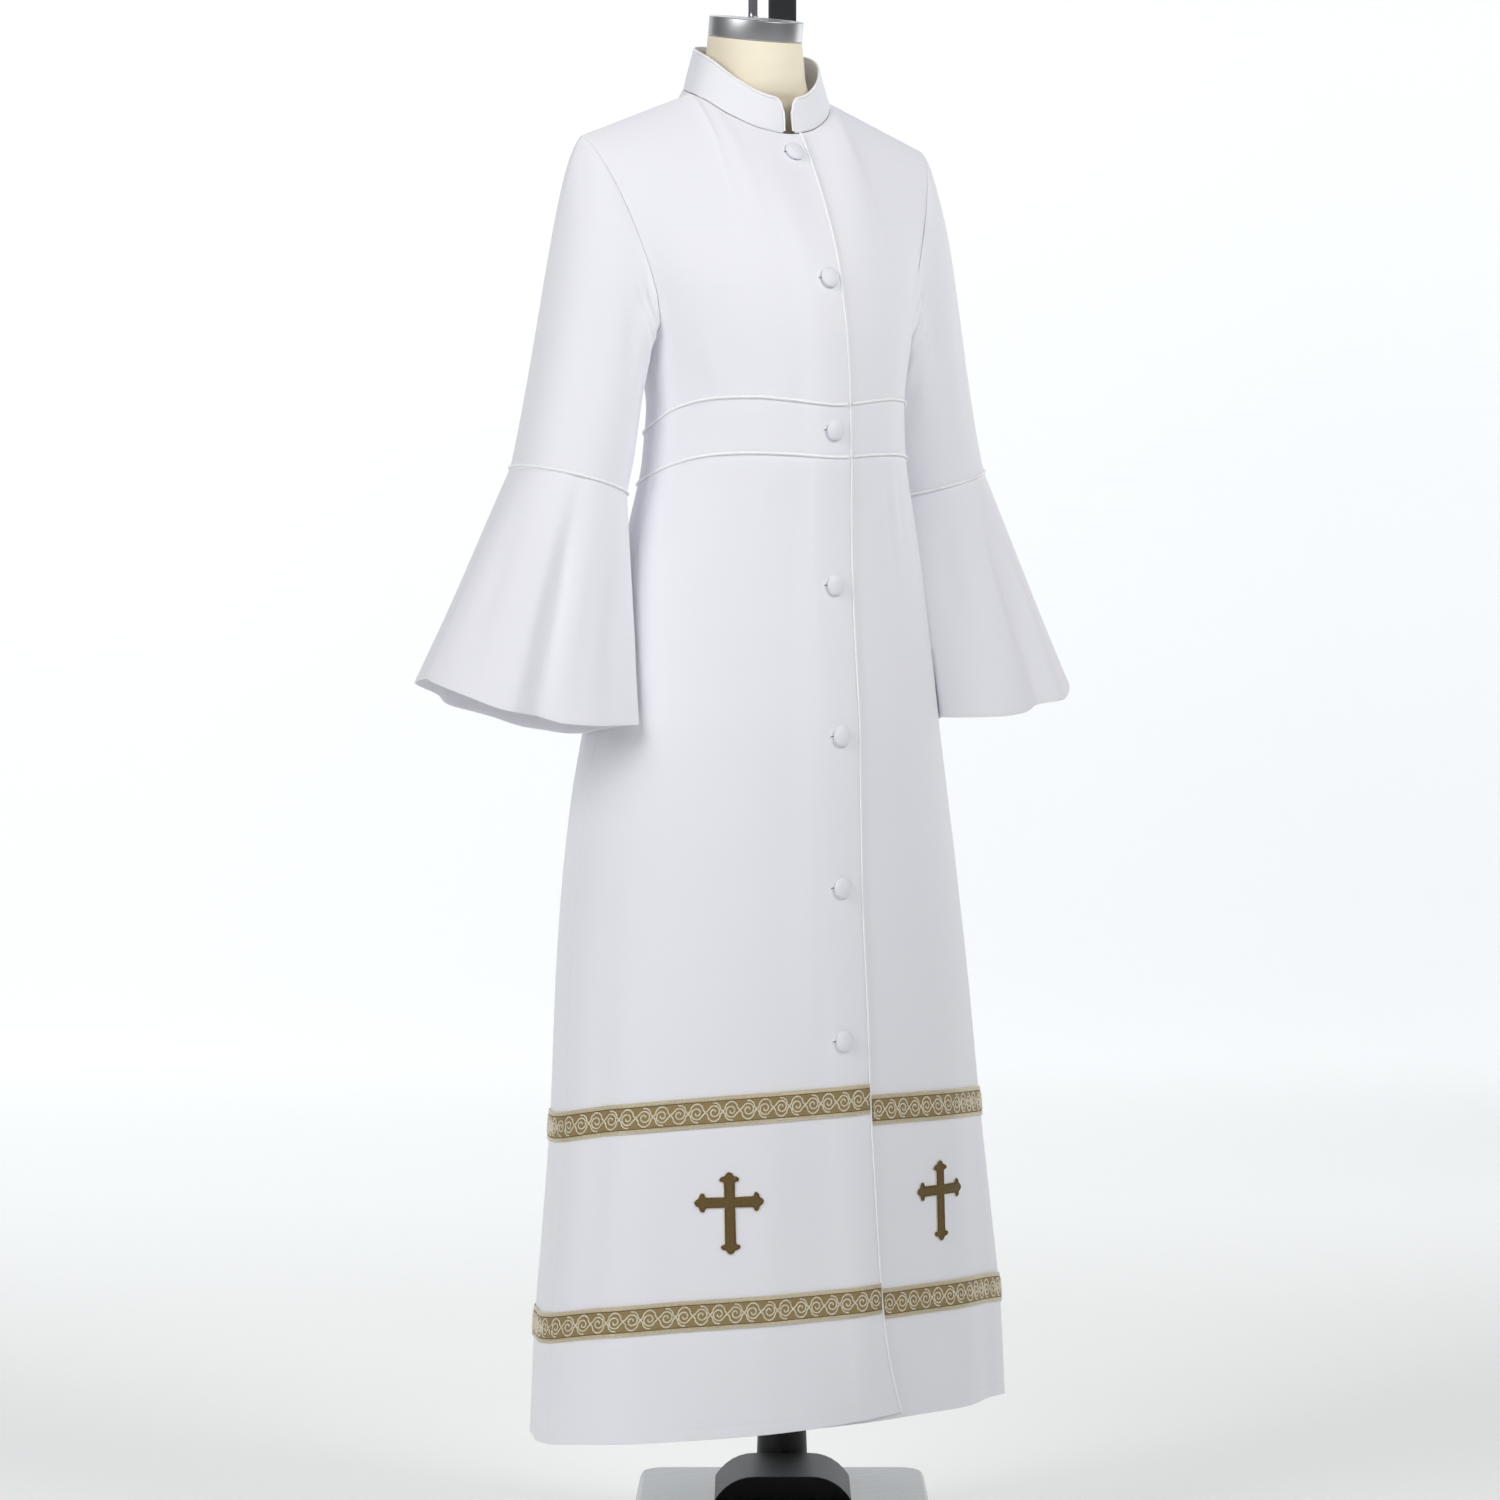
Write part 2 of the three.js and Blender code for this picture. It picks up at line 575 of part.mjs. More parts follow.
// The armhole's edge, from the shoulder tip down the front, round the underarm and up the back.
// away points across the edge, out of the panel.
function armholeEdge(side) {
  const edge = [];
  const take = (grid, column, i) => {
    const beside = column === 0 ? 1 : column - 1;
    const inner = grid[i - 1][column].clone().add(grid[i][beside]).multiplyScalar(0.5);
    edge.push({ point: grid[i][column], away: grid[i][column].clone().sub(inner) });
  };
  const front = grids.bodice[side < 0 ? "right" : "left"];
  const back = grids.bodice.back;
  for (let i = front.length - 1; i >= BODICE_LOW; i--) take(front, side < 0 ? 0 : front[0].length - 1, i);
  for (let i = BODICE_LOW + 1; i < back.length - 1; i++) take(back, side < 0 ? back[0].length - 1 : 0, i);
  edge.forEach((place, k) => {
    const next = edge[(k + 1) % edge.length].point;
    const run = next.clone().sub(edge[(k + edge.length - 1) % edge.length].point).normalize();
    place.away.addScaledVector(run, -place.away.dot(run)).normalize();
  });
  return edge;
}

// Lean of the sleeve's own axis at its seam, pointing down the arm.
const armAxis = (side) => new THREE.Vector3(side * sin(SLEEVE_LEAN), 0, -cos(SLEEVE_LEAN));

// A point of the round seam ring. turn is 0 at the outer side and 90 at the front.
function seamRing(side, turn, radius = SLEEVE_SEAM.radius, drop = 0) {
  const middle = new THREE.Vector3(side * SLEEVE_SEAM.across, SLEEVE_SEAM.back, SLEEVE_SEAM.height);
  const outward = new THREE.Vector3(side * cos(SLEEVE_LEAN), 0, sin(SLEEVE_LEAN));
  return middle
    .addScaledVector(outward, radius * cos(turn))
    .add(new THREE.Vector3(0, -radius * sin(turn), 0))
    .addScaledVector(armAxis(side), drop);
}

// How the sleeve leaves the armhole, round from the tip: its way out, forward and down, the pull
// of that way on the curve, and the pull of the seam below.
const SLEEVE_START = [
  { turn: 0, out: 0.82, front: 0, down: 0.57, pull: 34, seamPull: 150 },
  { turn: 60, out: 0.88, front: 0.3, down: 0.37, pull: 34, seamPull: 130 },
  { turn: 110, out: 0.92, front: 0.28, down: 0.27, pull: 26, seamPull: 100 },
  { turn: 150, out: 0.98, front: 0.1, down: 0.17, pull: 13, seamPull: 90 },
  { turn: 180, out: 1, front: 0, down: 0.1, pull: 9, seamPull: 88 },
  { turn: 210, out: 0.98, front: -0.1, down: 0.17, pull: 13, seamPull: 90 },
  { turn: 250, out: 0.92, front: -0.28, down: 0.27, pull: 24, seamPull: 100 },
  { turn: 300, out: 0.88, front: -0.3, down: 0.37, pull: 32, seamPull: 130 },
  { turn: 360, out: 0.82, front: 0, down: 0.57, pull: 34, seamPull: 150 },
];
const SLEEVE_ROWS = 8;

function sleeveGeometry(side) {
  const edge = armholeEdge(side);
  const count = edge.length;
  const bottom = edge.reduce((best, e, k) => (e.point.z < edge[best].point.z ? k : best), 0);
  const turnOf = (k) => (k <= bottom ? (180 * k) / bottom : 180 + (180 * (k - bottom)) / (count - bottom));
  const columns = edge.map(({ point }, k) => {
    const turn = turnOf(k);
    const read = (column) => along(SLEEVE_START, "turn", column, turn);
    const way = new THREE.Vector3(side * read("out"), -read("front"), -read("down")).normalize();
    const foot = seamRing(side, turn, SLEEVE_SEAM.radius, -SEAM_GAP / 2);
    return {
      way,
      curve: new THREE.CubicBezierCurve3(
        point.clone().addScaledVector(way, SEAM_GAP * 1.2),
        point.clone().addScaledVector(way, read("pull")),
        foot.clone().addScaledVector(armAxis(side), -read("seamPull")),
        foot,
      ),
    };
  });
  const order = columns.map((_, k) => (side < 0 ? k : count - 1 - k));
  const grid = [];
  for (let i = SLEEVE_ROWS; i >= 0; i--)
    grid.push(order.map((k) => columns[k].curve.getPoint(i / SLEEVE_ROWS)));
  // At the armhole the wall's end lies along the bodice's own edge face.
  const bend = (i, j, normal) => {
    if (i < SLEEVE_ROWS) return normal;
    const { away } = edge[order[j]];
    const into = normal.clone().negate();
    const back = Math.min(0, into.dot(away));
    return into.addScaledVector(away, -back).normalize().negate();
  };
  return { grid, geometry: clothWall(grid, { closed: true, bend }) };
}

// Moves a point of a hanging bell out of the skirt beside it.
function clearOfSkirt(point) {
  const angle = (height) => {
    const middle = along(TRUNK, "height", "middle", height);
    const half = along(TRUNK, "height", "half", height);
    const reach = point.y < middle ? "front" : "back";
    const depth = along(TRUNK, "height", reach, height) + (reach === "front" ? middle : -middle);
    return THREE.MathUtils.radToDeg(Math.atan2(point.x / half, -(point.y - middle) / depth));
  };
  const wall = trunk(angle(point.z), point.z, SLEEVE_CLEAR);
  const middle = along(TRUNK, "height", "middle", point.z);
  const away = Math.hypot(point.x, point.y - middle);
  const least = Math.hypot(wall.x, wall.y - middle);
  return away < least ? wall : point;
}

const BELL_ROWS = 5;
const BELL_COLUMNS = 30;
function bellGrid(side) {
  const rows = [];
  for (let i = BELL_ROWS; i >= 0; i--) {
    const fall = i / BELL_ROWS;
    const turns = evenly(0, 360, BELL_COLUMNS).slice(0, -1);
    const row = turns.map((turn) => {
      const start = seamRing(side, turn, SLEEVE_SEAM.radius, SEAM_GAP / 2);
      const reach = along(BELL_HEM, "angle", "reach", turn);
      const end = new THREE.Vector3(
        side * (BELL_MIDDLE.across + reach * cos(turn)),
        BELL_MIDDLE.back - reach * sin(turn),
        along(BELL_HEM, "angle", "height", turn),
      );
      return clearOfSkirt(start.lerp(end, fall));
    });
    rows.push(side < 0 ? row : row.reverse());
  }
  return rows;
}

// The standing collar, open at the centre front with rounded upper corners.
const COLLAR_COLUMNS = 30;
const COLLAR_FOOT = 0.9; // its seam's height over the neckline, clear of the neckline's chords
const collarAngle = (across) => THREE.MathUtils.radToDeg(Math.asin(across / NECK.half));
function collarGrid() {
  const from = collarAngle(COLLAR_ENDS.left);
  const to = 360 + collarAngle(COLLAR_ENDS.right);
  const round = COLLAR_ENDS.rounding;
  return [0, 0.35, 0.7, 1].map((share) =>
    evenly(from, to, COLLAR_COLUMNS).map((angle, j) => {
      const base = neckPoint(NECK, "base", angle).add(new THREE.Vector3(0, 0, COLLAR_FOOT));
      const top = neckPoint(COLLAR_TOP, "top", angle);
      const fromEnd = (Math.min(j, COLLAR_COLUMNS - j) * radians(to - from) * NECK.half) / COLLAR_COLUMNS;
      const inside = Math.min(1, fromEnd / round);
      const cut = 1 - (round * (1 - Math.sqrt(1 - (1 - inside) ** 2))) / base.distanceTo(top);
      return base.lerp(top, share * cut);
    }),
  );
}

// Where a point lies on a panel's own facets, with the facets' normal there.
const FACET_ROUNDS = 8;
function onPanel(grid, across, height) {
  for (let i = 0; i < grid.length - 1; i++)
    for (let j = 0; j < grid[0].length - 1; j++) {
      const [a, b, c, d] = [grid[i][j], grid[i][j + 1], grid[i + 1][j + 1], grid[i + 1][j]];
      if (across < Math.min(a.x, d.x) || across > Math.max(b.x, c.x)) continue;
      if (height < Math.min(a.z, b.z) || height > Math.max(c.z, d.z)) continue;
      let s = 0.5;
      let t = 0.5;
      for (let k = 0; k < FACET_ROUNDS; k++) {
        s = (across - lerp(a.x, d.x, t)) / (lerp(b.x, c.x, t) - lerp(a.x, d.x, t));
        t = (height - lerp(a.z, b.z, s)) / (lerp(d.z, c.z, s) - lerp(a.z, b.z, s));
      }
      if (s < -0.001 || s > 1.001 || t < -0.001 || t > 1.001) continue;
      const point = a.clone().lerp(b, s).lerp(d.clone().lerp(c, s), t);
      const normal = b.clone().sub(a).lerp(c.clone().sub(d), t);
      normal.cross(d.clone().sub(a).lerp(c.clone().sub(b), s)).normalize();
      return { point, normal };
    }
  throw new Error("no facet at " + across + ", " + height);
}

const root = new THREE.Group();
const robe = new THREE.Group();
robe.position.z = HEM_Z;
root.add(robe);

const finish = (color, roughness, metalness = 0) =>
  new THREE.MeshStandardMaterial({ color, roughness, metalness, side: THREE.DoubleSide });
const MATERIALS = {
  cloth: finish(0xf1f1f7, 0.75),
  piping: finish(0xf6f6fb, 0.6),
  braid: finish(0xa38d62, 0.45, 0.4),
  cross: finish(0x93794a, 0.4, 0.5),
  form: finish(0xe0d4c0, 0.9),
  brushed: finish(0xc4c6c8, 0.35, 1),
  chrome: finish(0xdfe2e4, 0.12, 1),
  black: finish(0x17181a, 0.5),
  iron: finish(0x3a3c3f, 0.4, 0.6),
};

function addPiece(parent, name, geometry, material) {
  const mesh = new THREE.Mesh(geometry, MATERIALS[material]);
  mesh.name = name;
  parent.add(mesh);
  return mesh;
}

// The body of the robe
const PANEL_NAMES = { right: "front_right", left: "front_left", back: "back" };
for (const [name, label] of Object.entries(PANEL_NAMES)) {
  for (const [part, word] of [
    ["skirt", "skirt_"],
    ["band", "waistband_"],
    ["bodice", "bodice_"],
  ]) {
    const grid = grids[part][name];
    addPiece(robe, word + label, clothWall(grid, { bend: seamBend(grid) }), "cloth");
  }
}

// Collar, sleeves and bells
const collar = collarGrid();
const levelFoot = (i, j, normal) => (i === 0 ? normal.setZ(0).normalize() : normal);
addPiece(robe, "collar", clothWall(collar, { thick: COLLAR_WALL, bend: levelFoot }), "cloth");
const sleeves = { right: sleeveGeometry(-1), left: sleeveGeometry(1) };
for (const side of ["right", "left"]) {
  addPiece(robe, "sleeve_" + side, sleeves[side].geometry, "cloth");
  const bell = bellGrid(side === "right" ? -1 : 1);
  addPiece(robe, "bell_" + side, clothWall(bell, { closed: true }), "cloth");
}

// Braids lie on the skirt's facets and cut off with each panel.
const EDGE_ROOM = 2.4; // between the right front's piping and a trim that starts beside it
const braidLift = TRIM_GAP + BRAID_THICK;
for (const [name, label] of Object.entries(PANEL_NAMES))
  for (const [level, [low, high]] of Object.entries(BRAID_ROWS)) {
    const rows = grids.skirt[name].slice(low - 1, high + 2);
    const normals = gridNormals(rows, false);
    const lifted = (i) => rows[i].map((p, j) => p.clone().addScaledVector(normals[i][j], braidLift));
    const strip = [lifted(1), lifted(2)];
    // The left front's braid starts where the right front's piped edge stops covering it.
    const shown = name === "left" ? strip.map((row) => underEdge(row)) : strip;
    addPiece(robe, "braid_" + level + "_" + label, clothWall(shown, { thick: BRAID_THICK }), "braid");
  }

// A row of points, started clear of the right front's edge at that height.
function underEdge(row) {
  const start = along(FRONT_EDGE, "height", "across", row[0].z) + 2 * PIPING_RADIUS + EDGE_ROOM;
  const first = row.findIndex((p) => p.x > start + EDGE_ROOM);
  const share = (start - row[first - 1].x) / (row[first].x - row[first - 1].x);
  return [row[first - 1].clone().lerp(row[first], share), ...row.slice(first)];
}

// Crosses, cut in flat cloth and laid on the skirt.
function crossShape() {
  const { bar, arm, rise, fall } = CROSS_FORM;
  const shape = new THREE.Shape();
  const ends = [
    { angle: 0, length: arm },
    { angle: 90, length: rise },
    { angle: 180, length: arm },
    { angle: 270, length: fall },
  ];
  ends.forEach(({ angle, length }, k) => {
    const turned = new THREE.Vector2(cos(angle), sin(angle));
    const place = (out, beside) => [
      out * turned.x - beside * turned.y,
      out * turned.y + beside * turned.x,
    ];
    const half = CROSS_END.map(({ back, beside }) => [length - back, beside]);
    const outline = [[bar, -bar], ...half.map(([x, y]) => [x, -y]), [length, 0], ...half.toReversed()];
    outline.forEach(([x, y], m) => {
      if (k + m === 0) shape.moveTo(...place(x, y));
      else shape.lineTo(...place(x, y));
    });
  });
  shape.closePath();
  return shape;
}

function crossGeometry(grid, across, height) {
  const flat = new THREE.ExtrudeGeometry(crossShape(), { depth: CROSS_THICK, bevelEnabled: false });
  const cut = new TessellateModifier(14, 6).modify(flat);
  const place = cut.getAttribute("position");
  for (let k = 0; k < place.count; k++) {
    const { point, normal } = onPanel(grid, across + place.getX(k), height + place.getY(k));
    point.addScaledVector(normal, CROSS_GAP + place.getZ(k));
    place.setXYZ(k, point.x, point.y, point.z);
  }
  return new THREE.BufferGeometry().setAttribute("position", place);
}
addPiece(robe, "cross_right", crossGeometry(grids.skirt.right, -CROSS.across, CROSS.right), "cross");
addPiece(robe, "cross_left", crossGeometry(grids.skirt.left, CROSS.across, CROSS.left), "cross");

// Covered buttons down the centre front
const BUTTON_SIDES = 12;
const buttonProfile = [
  [0, 0],
  [8.5, 0],
  [10.8, 1.4],
  [11, 2.6],
  [8.6, 4.6],
  [4.6, 5.6],
  [0, 5.9],
].map(([x, y]) => new THREE.Vector2(x, y));
BUTTON_HEIGHTS.forEach((height, k) => {
  const part = height > MEAN.waistHigh ? "bodice" : height > MEAN.waistLow ? "band" : "skirt";
  const grid = grids[part].right;
  const { point, normal } = onPanel(grid, BUTTON_ACROSS, height);
  const disc = new THREE.LatheGeometry(buttonProfile, BUTTON_SIDES);
  const button = addPiece(robe, "button_" + (k + 1), disc, "cloth");
  button.position.copy(point).addScaledVector(normal, TRIM_GAP);
  button.quaternion.setFromUnitVectors(new THREE.Vector3(0, 1, 0), normal);
});

// Piping
const cordLift = PIPING_RADIUS + SEAM_GAP + CORD_SLACK;
const onTop = (points, normals) => points.map((p, j) => p.clone().addScaledVector(normals[j], cordLift));
const EDGE_TRIM = 0.12; // of the last facet, cut off beside the front edge's piping
for (const [name, label] of Object.entries(PANEL_NAMES)) {
  const band = grids.band[name];
  const normals = gridNormals(band, false);
  for (const [level, i] of [
    ["low", 0],
    ["high", band.length - 1],
  ]) {
    const points = onTop(band[i], normals[i]);
    // It stops short of the front edge's own piping.
    const trimmed = name === "left" ? underEdge(points) : points;
    if (name === "right") trimmed[trimmed.length - 1].lerp(trimmed[trimmed.length - 2], EDGE_TRIM);
    const cord = cordGeometry(trimmed, points.length + 2);
    addPiece(robe, "piping_waist_" + level + "_" + label, cord, "piping");
  }
}

// The right front's edge is piped from the neck to the hem in one run.
function frontEdgeLine() {
  const line = [];
  for (const [part, start] of [
    ["skirt", 0],
    ["band", 1],
    ["bodice", 1],
  ]) {
    const grid = grids[part].right;
    const normals = gridNormals(grid, false);
    const last = grid[0].length - 1;
    for (let i = start; i < grid.length; i++) {
      const outward = grid[i][last].clone().sub(grid[i][last - 1]).normalize();
      const point = grid[i][last].clone().addScaledVector(outward, cordLift);
      line.push(point.addScaledVector(normals[i][last], -WALL / 2));
    }
  }
  return line;
}
addPiece(robe, "piping_front_edge", cordGeometry(frontEdgeLine(), CORD_STEPS.frontEdge), "piping");

// The collar's piping runs up one end, along the top and down the other.
function collarLine() {
  const normals = gridNormals(collar, false);
  const top = collar.length - 1;
  const inward = (i, j) => normals[i][j].clone().multiplyScalar(-COLLAR_WALL / 2);
  return collar[top].map((point, j) => {
    const up = point.clone().sub(collar[top - 1][j]).normalize();
    return point.clone().addScaledVector(up, cordLift + CORD_SLACK).add(inward(top, j));
  });
}
addPiece(robe, "piping_collar", cordGeometry(collarLine(), CORD_STEPS.collar), "piping");

// Round each sleeve seam, with the cord's two ends meeting under the arm.
for (const [side, sign] of [
  ["right", -1],
  ["left", 1],
]) {
  const turns = evenly(181, 539, 24);
  const points = turns.map((turn) => seamRing(sign, turn, SLEEVE_SEAM.radius + cordLift + CORD_SLACK));
  addPiece(robe, "piping_sleeve_" + side, cordGeometry(points, CORD_STEPS.sleeve), "piping");
}

// The dress form
function formGeometry() {
  const turns = evenly(0, 360, FORM_COLUMNS).slice(0, -1);
  const rings = FORM.map(({ height, half, front, back, middle }) => {
    const tilt = smooth(height, TILT.from, TILT.to) * Math.tan(radians(NECK_TILT));
    return turns.map((turn) => {
      const y = middle - (cos(turn) > 0 ? front : back) * cos(turn);
      return new THREE.Vector3(half * sin(turn), y, height + tilt * (y - CAP.middle));
    });
  });
  const points = rings.flat();
  const count = turns.length;
  const faces = [];
  for (let i = 0; i < rings.length - 1; i++)
    for (let j = 0; j < count; j++) {
      const [a, b] = [i * count + j, i * count + ((j + 1) % count)];
      faces.push(a, b, b + count, a, b + count, a + count);
    }
  const centre = (ring) => ring.reduce((sum, p) => sum.add(p), new THREE.Vector3()).divideScalar(count);
  const [low, high] = [points.length, points.length + 1];
  const top = (rings.length - 1) * count;
  points.push(centre(rings[0]), centre(rings[rings.length - 1]));
  for (let j = 0; j < count; j++) {
    faces.push(low, (j + 1) % count, j);
    faces.push(high, top + j, top + ((j + 1) % count));
  }
  const geometry = new THREE.BufferGeometry().setFromPoints(points);
  geometry.setIndex(faces);
  geometry.computeVertexNormals();
  return geometry;
}
addPiece(robe, "dress_form", formGeometry(), "form");

const cap = new THREE.CylinderGeometry(CAP.radius, CAP.radius, CAP.height, CAP.sides);
cap.rotateX(Math.PI / 2);
const neckCap = addPiece(robe, "neck_cap", cap, "brushed");
neckCap.rotation.x = radians(NECK_TILT);
neckCap.position.set(0, CAP.middle, CAP.foot);
neckCap.translateZ(CAP.height / 2);

// The stand
const stand = new THREE.Group();
stand.rotation.z = radians(STAND_TURN);
root.add(stand);

function roundedRectangle(width, depth, corner) {
  const shape = new THREE.Shape();
  const [x, y] = [width / 2, depth / 2];
  shape.moveTo(-x + corner, -y);
  shape.lineTo(x - corner, -y);
  shape.absarc(x - corner, -y + corner, corner, -Math.PI / 2, 0, false);
  shape.lineTo(x, y - corner);
  shape.absarc(x - corner, y - corner, corner, 0, Math.PI / 2, false);
  shape.lineTo(-x + corner, y);
  shape.absarc(-x + corner, y - corner, corner, Math.PI / 2, Math.PI, false);
  shape.lineTo(-x, -y + corner);
  shape.absarc(-x + corner, -y + corner, corner, Math.PI, 1.5 * Math.PI, false);
  return shape;
}

// The base is widest at the floor and drawn in towards its top plate.
function baseGeometry() {
  const grid = [
    { z: 0, grow: BASE.draft },
    { z: BASE.high - BASE_LIP.drop, grow: BASE_LIP.grow },
    { z: BASE.high, grow: 0 },
  ].map(({ z, grow }) =>
    roundedRectangle(BASE.width + 2 * grow, BASE.depth + 2 * grow, BASE.corner + grow)
      .getPoints(5)
      .slice(0, -1)
      .map((p) => new THREE.Vector3(p.x, p.y, z)),
  );
  const count = grid[0].length;
  const points = grid.flat();
  const faces = [];
  for (let i = 0; i < grid.length - 1; i++)
    for (let j = 0; j < count; j++) {
      const [a, b] = [i * count + j, i * count + ((j + 1) % count)];
      faces.push(a, b, b + count, a, b + count, a + count);
    }
  const top = (grid.length - 1) * count;
  for (let j = 1; j < count - 1; j++) {
    faces.push(0, j + 1, j);
    faces.push(top, top + j, top + j + 1);
  }
  const geometry = new THREE.BufferGeometry().setFromPoints(points);
  geometry.setIndex(faces);
  geometry.computeVertexNormals();
  return geometry;
}
const base = addPiece(stand, "base", baseGeometry(), "iron");
base.position.set(BASE.middle, BASE.front + BASE.depth / 2, 0);

function housingGeometry() {
  const profile = new THREE.Shape();
  const half = HOUSING.width / 2;
  profile.moveTo(-half, 0);
  profile.lineTo(half, 0);
  const flat = half * HOUSING.flat;
  const shoulder = half * HOUSING.shoulder;
  profile.quadraticCurveTo(shoulder, HOUSING.high, flat, HOUSING.high);
  profile.lineTo(-flat, HOUSING.high);
  profile.quadraticCurveTo(-shoulder, HOUSING.high, -half, 0);
  const depth = HOUSING.length;
  const geometry = new THREE.ExtrudeGeometry(profile, { depth, curveSegments: 6, bevelEnabled: false });
  return geometry.rotateX(Math.PI / 2);
}
const housing = addPiece(stand, "pedal_housing", housingGeometry(), "black");
housing.position.set(POST.across, HOUSING.from + HOUSING.length, BASE.high + SEAM_GAP);

function lathe(name, profile, segments, material) {
  const points = profile.map(([x, y]) => new THREE.Vector2(x, y));
  const geometry = new THREE.LatheGeometry(points, segments).rotateX(Math.PI / 2);
  return addPiece(stand, name, geometry, material);
}

const postFoot = BASE.high + SEAM_GAP;
const postRoom = POST.side / Math.SQRT2 + SEAM_GAP;
const postSleeve = lathe(
  "post_sleeve",
  [
    [postRoom, 0],
    [POST_SLEEVE.foot, 0],
    [POST_SLEEVE.waist, POST_SLEEVE.waistHeight],
    [POST_SLEEVE.waist - POST_SLEEVE.lip, POST_SLEEVE.height - POST_SLEEVE.drop],
    [postRoom, POST_SLEEVE.height],
    [postRoom, 0],
  ],
  24,
  "black",
);
postSleeve.position.set(POST.across, POST.back, postFoot);

const postHigh = HEM_Z + POST.top - postFoot;
const post = addPiece(stand, "post", new THREE.BoxGeometry(POST.side, POST.side, postHigh), "black");
post.position.set(POST.across, POST.back, postFoot + postHigh / 2);

// The arm reaches from the post to above the neck, where the rod hangs.
const toRod = new THREE.Vector2(ROD.across - POST.across, ROD.back - POST.back);
const armLength = toRod.length() - POST.side / 2 - SEAM_GAP + ARM.side / 2;
const arm = addPiece(stand, "arm", new THREE.BoxGeometry(ARM.side, armLength, ARM.side), "black");
const armStart = POST.side / 2 + SEAM_GAP + ARM.skew;
toRod.normalize();
arm.position.set(
  POST.across + toRod.x * (armStart + armLength / 2),
  POST.back + toRod.y * (armStart + armLength / 2),
  HEM_Z + ARM.height,
);
arm.rotation.z = Math.atan2(toRod.y, toRod.x) + Math.PI / 2;

const rodFoot = HEM_Z + CAP.foot + CAP.height + ROD.clear;
const rodTop = HEM_Z + ARM.height - ARM.side / 2 - SEAM_GAP;
const rod = new THREE.CylinderGeometry(ROD.radius, ROD.radius, rodTop - rodFoot, 16).rotateX(Math.PI / 2);
const hangRod = addPiece(stand, "hang_rod", rod, "chrome");
hangRod.position.set(ROD.across, ROD.back, (rodTop + rodFoot) / 2);

export default root;
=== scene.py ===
"""A white choir robe with bell sleeves, worn by a limbless dress form on a pedal stand.

The robe's sizes are in millimetres, and its heights are measured from the hem line, which hangs
HEM_HEIGHT above the floor. Angles go round the body in degrees: 0 is the centre front and 90 is
the wearer's left side. metres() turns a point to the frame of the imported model.
"""

import logging
import math
from collections.abc import Callable, Iterable, Sequence
from dataclasses import dataclass, field
from enum import Enum

import bmesh
import bpy
from mathutils import Matrix, Vector


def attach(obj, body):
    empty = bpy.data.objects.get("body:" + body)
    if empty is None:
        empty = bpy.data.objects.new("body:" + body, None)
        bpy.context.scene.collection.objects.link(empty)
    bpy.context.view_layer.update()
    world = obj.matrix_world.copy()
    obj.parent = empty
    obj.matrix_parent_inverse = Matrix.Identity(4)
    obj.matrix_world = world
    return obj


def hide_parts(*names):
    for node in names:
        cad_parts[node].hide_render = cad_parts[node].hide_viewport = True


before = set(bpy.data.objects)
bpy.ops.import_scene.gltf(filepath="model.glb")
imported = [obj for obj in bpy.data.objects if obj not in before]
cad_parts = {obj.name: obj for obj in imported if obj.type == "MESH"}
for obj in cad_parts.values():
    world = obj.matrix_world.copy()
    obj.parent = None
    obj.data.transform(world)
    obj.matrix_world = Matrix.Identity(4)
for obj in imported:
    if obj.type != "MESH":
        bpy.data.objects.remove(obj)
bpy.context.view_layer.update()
LOG = logging.getLogger("choir_robe")

MM = 0.001
HEM_HEIGHT = 178.0
WALL = 1.6
SEAM_GAP = 0.3
BODY = "root"
FOLD_REACH = 3.0  # widths from a fold's middle beyond which it moves nothing
CREASE_REACH = 2.6  # the same for a crease
JOINED = 0.00001  # metres, how near points are joined
EDGE_ROOM = 4.6  # from the right front's edge to the trims that start beside its piping

Grid = list[list[Vector]]
Run = list[Vector]
Socket = bpy.types.NodeSocket


def metres(point: Vector) -> Vector:
    """Returns a point of the robe, in metres over the floor."""
    return Vector((point.x, point.y, point.z + HEM_HEIGHT)) * MM


def lerp(a: float, b: float, share: float) -> float:
    """Returns the value a share of the way from a to b."""
    return a + (b - a) * share


def smooth(value: float, low: float, high: float) -> float:
    """Returns 0 below low, 1 above high, and an even S-curve between them."""
    share = min(1.0, max(0.0, (value - low) / (high - low)))
    return share * share * (3 - 2 * share)


def evenly(first: float, last: float, steps: int) -> list[float]:
    """Returns steps + 1 values from first to last."""
    return [lerp(first, last, k / steps) for k in range(steps + 1)]


def turn_to(angle: float) -> float:
    """Returns an angle between -180 and 180 degrees."""
    return (angle + 540) % 360 - 180


def sin(degrees: float) -> float:
    """Returns the sine of an angle in degrees."""
    return math.sin(math.radians(degrees))


def cos(degrees: float) -> float:
    """Returns the cosine of an angle in degrees."""
    return math.cos(math.radians(degrees))


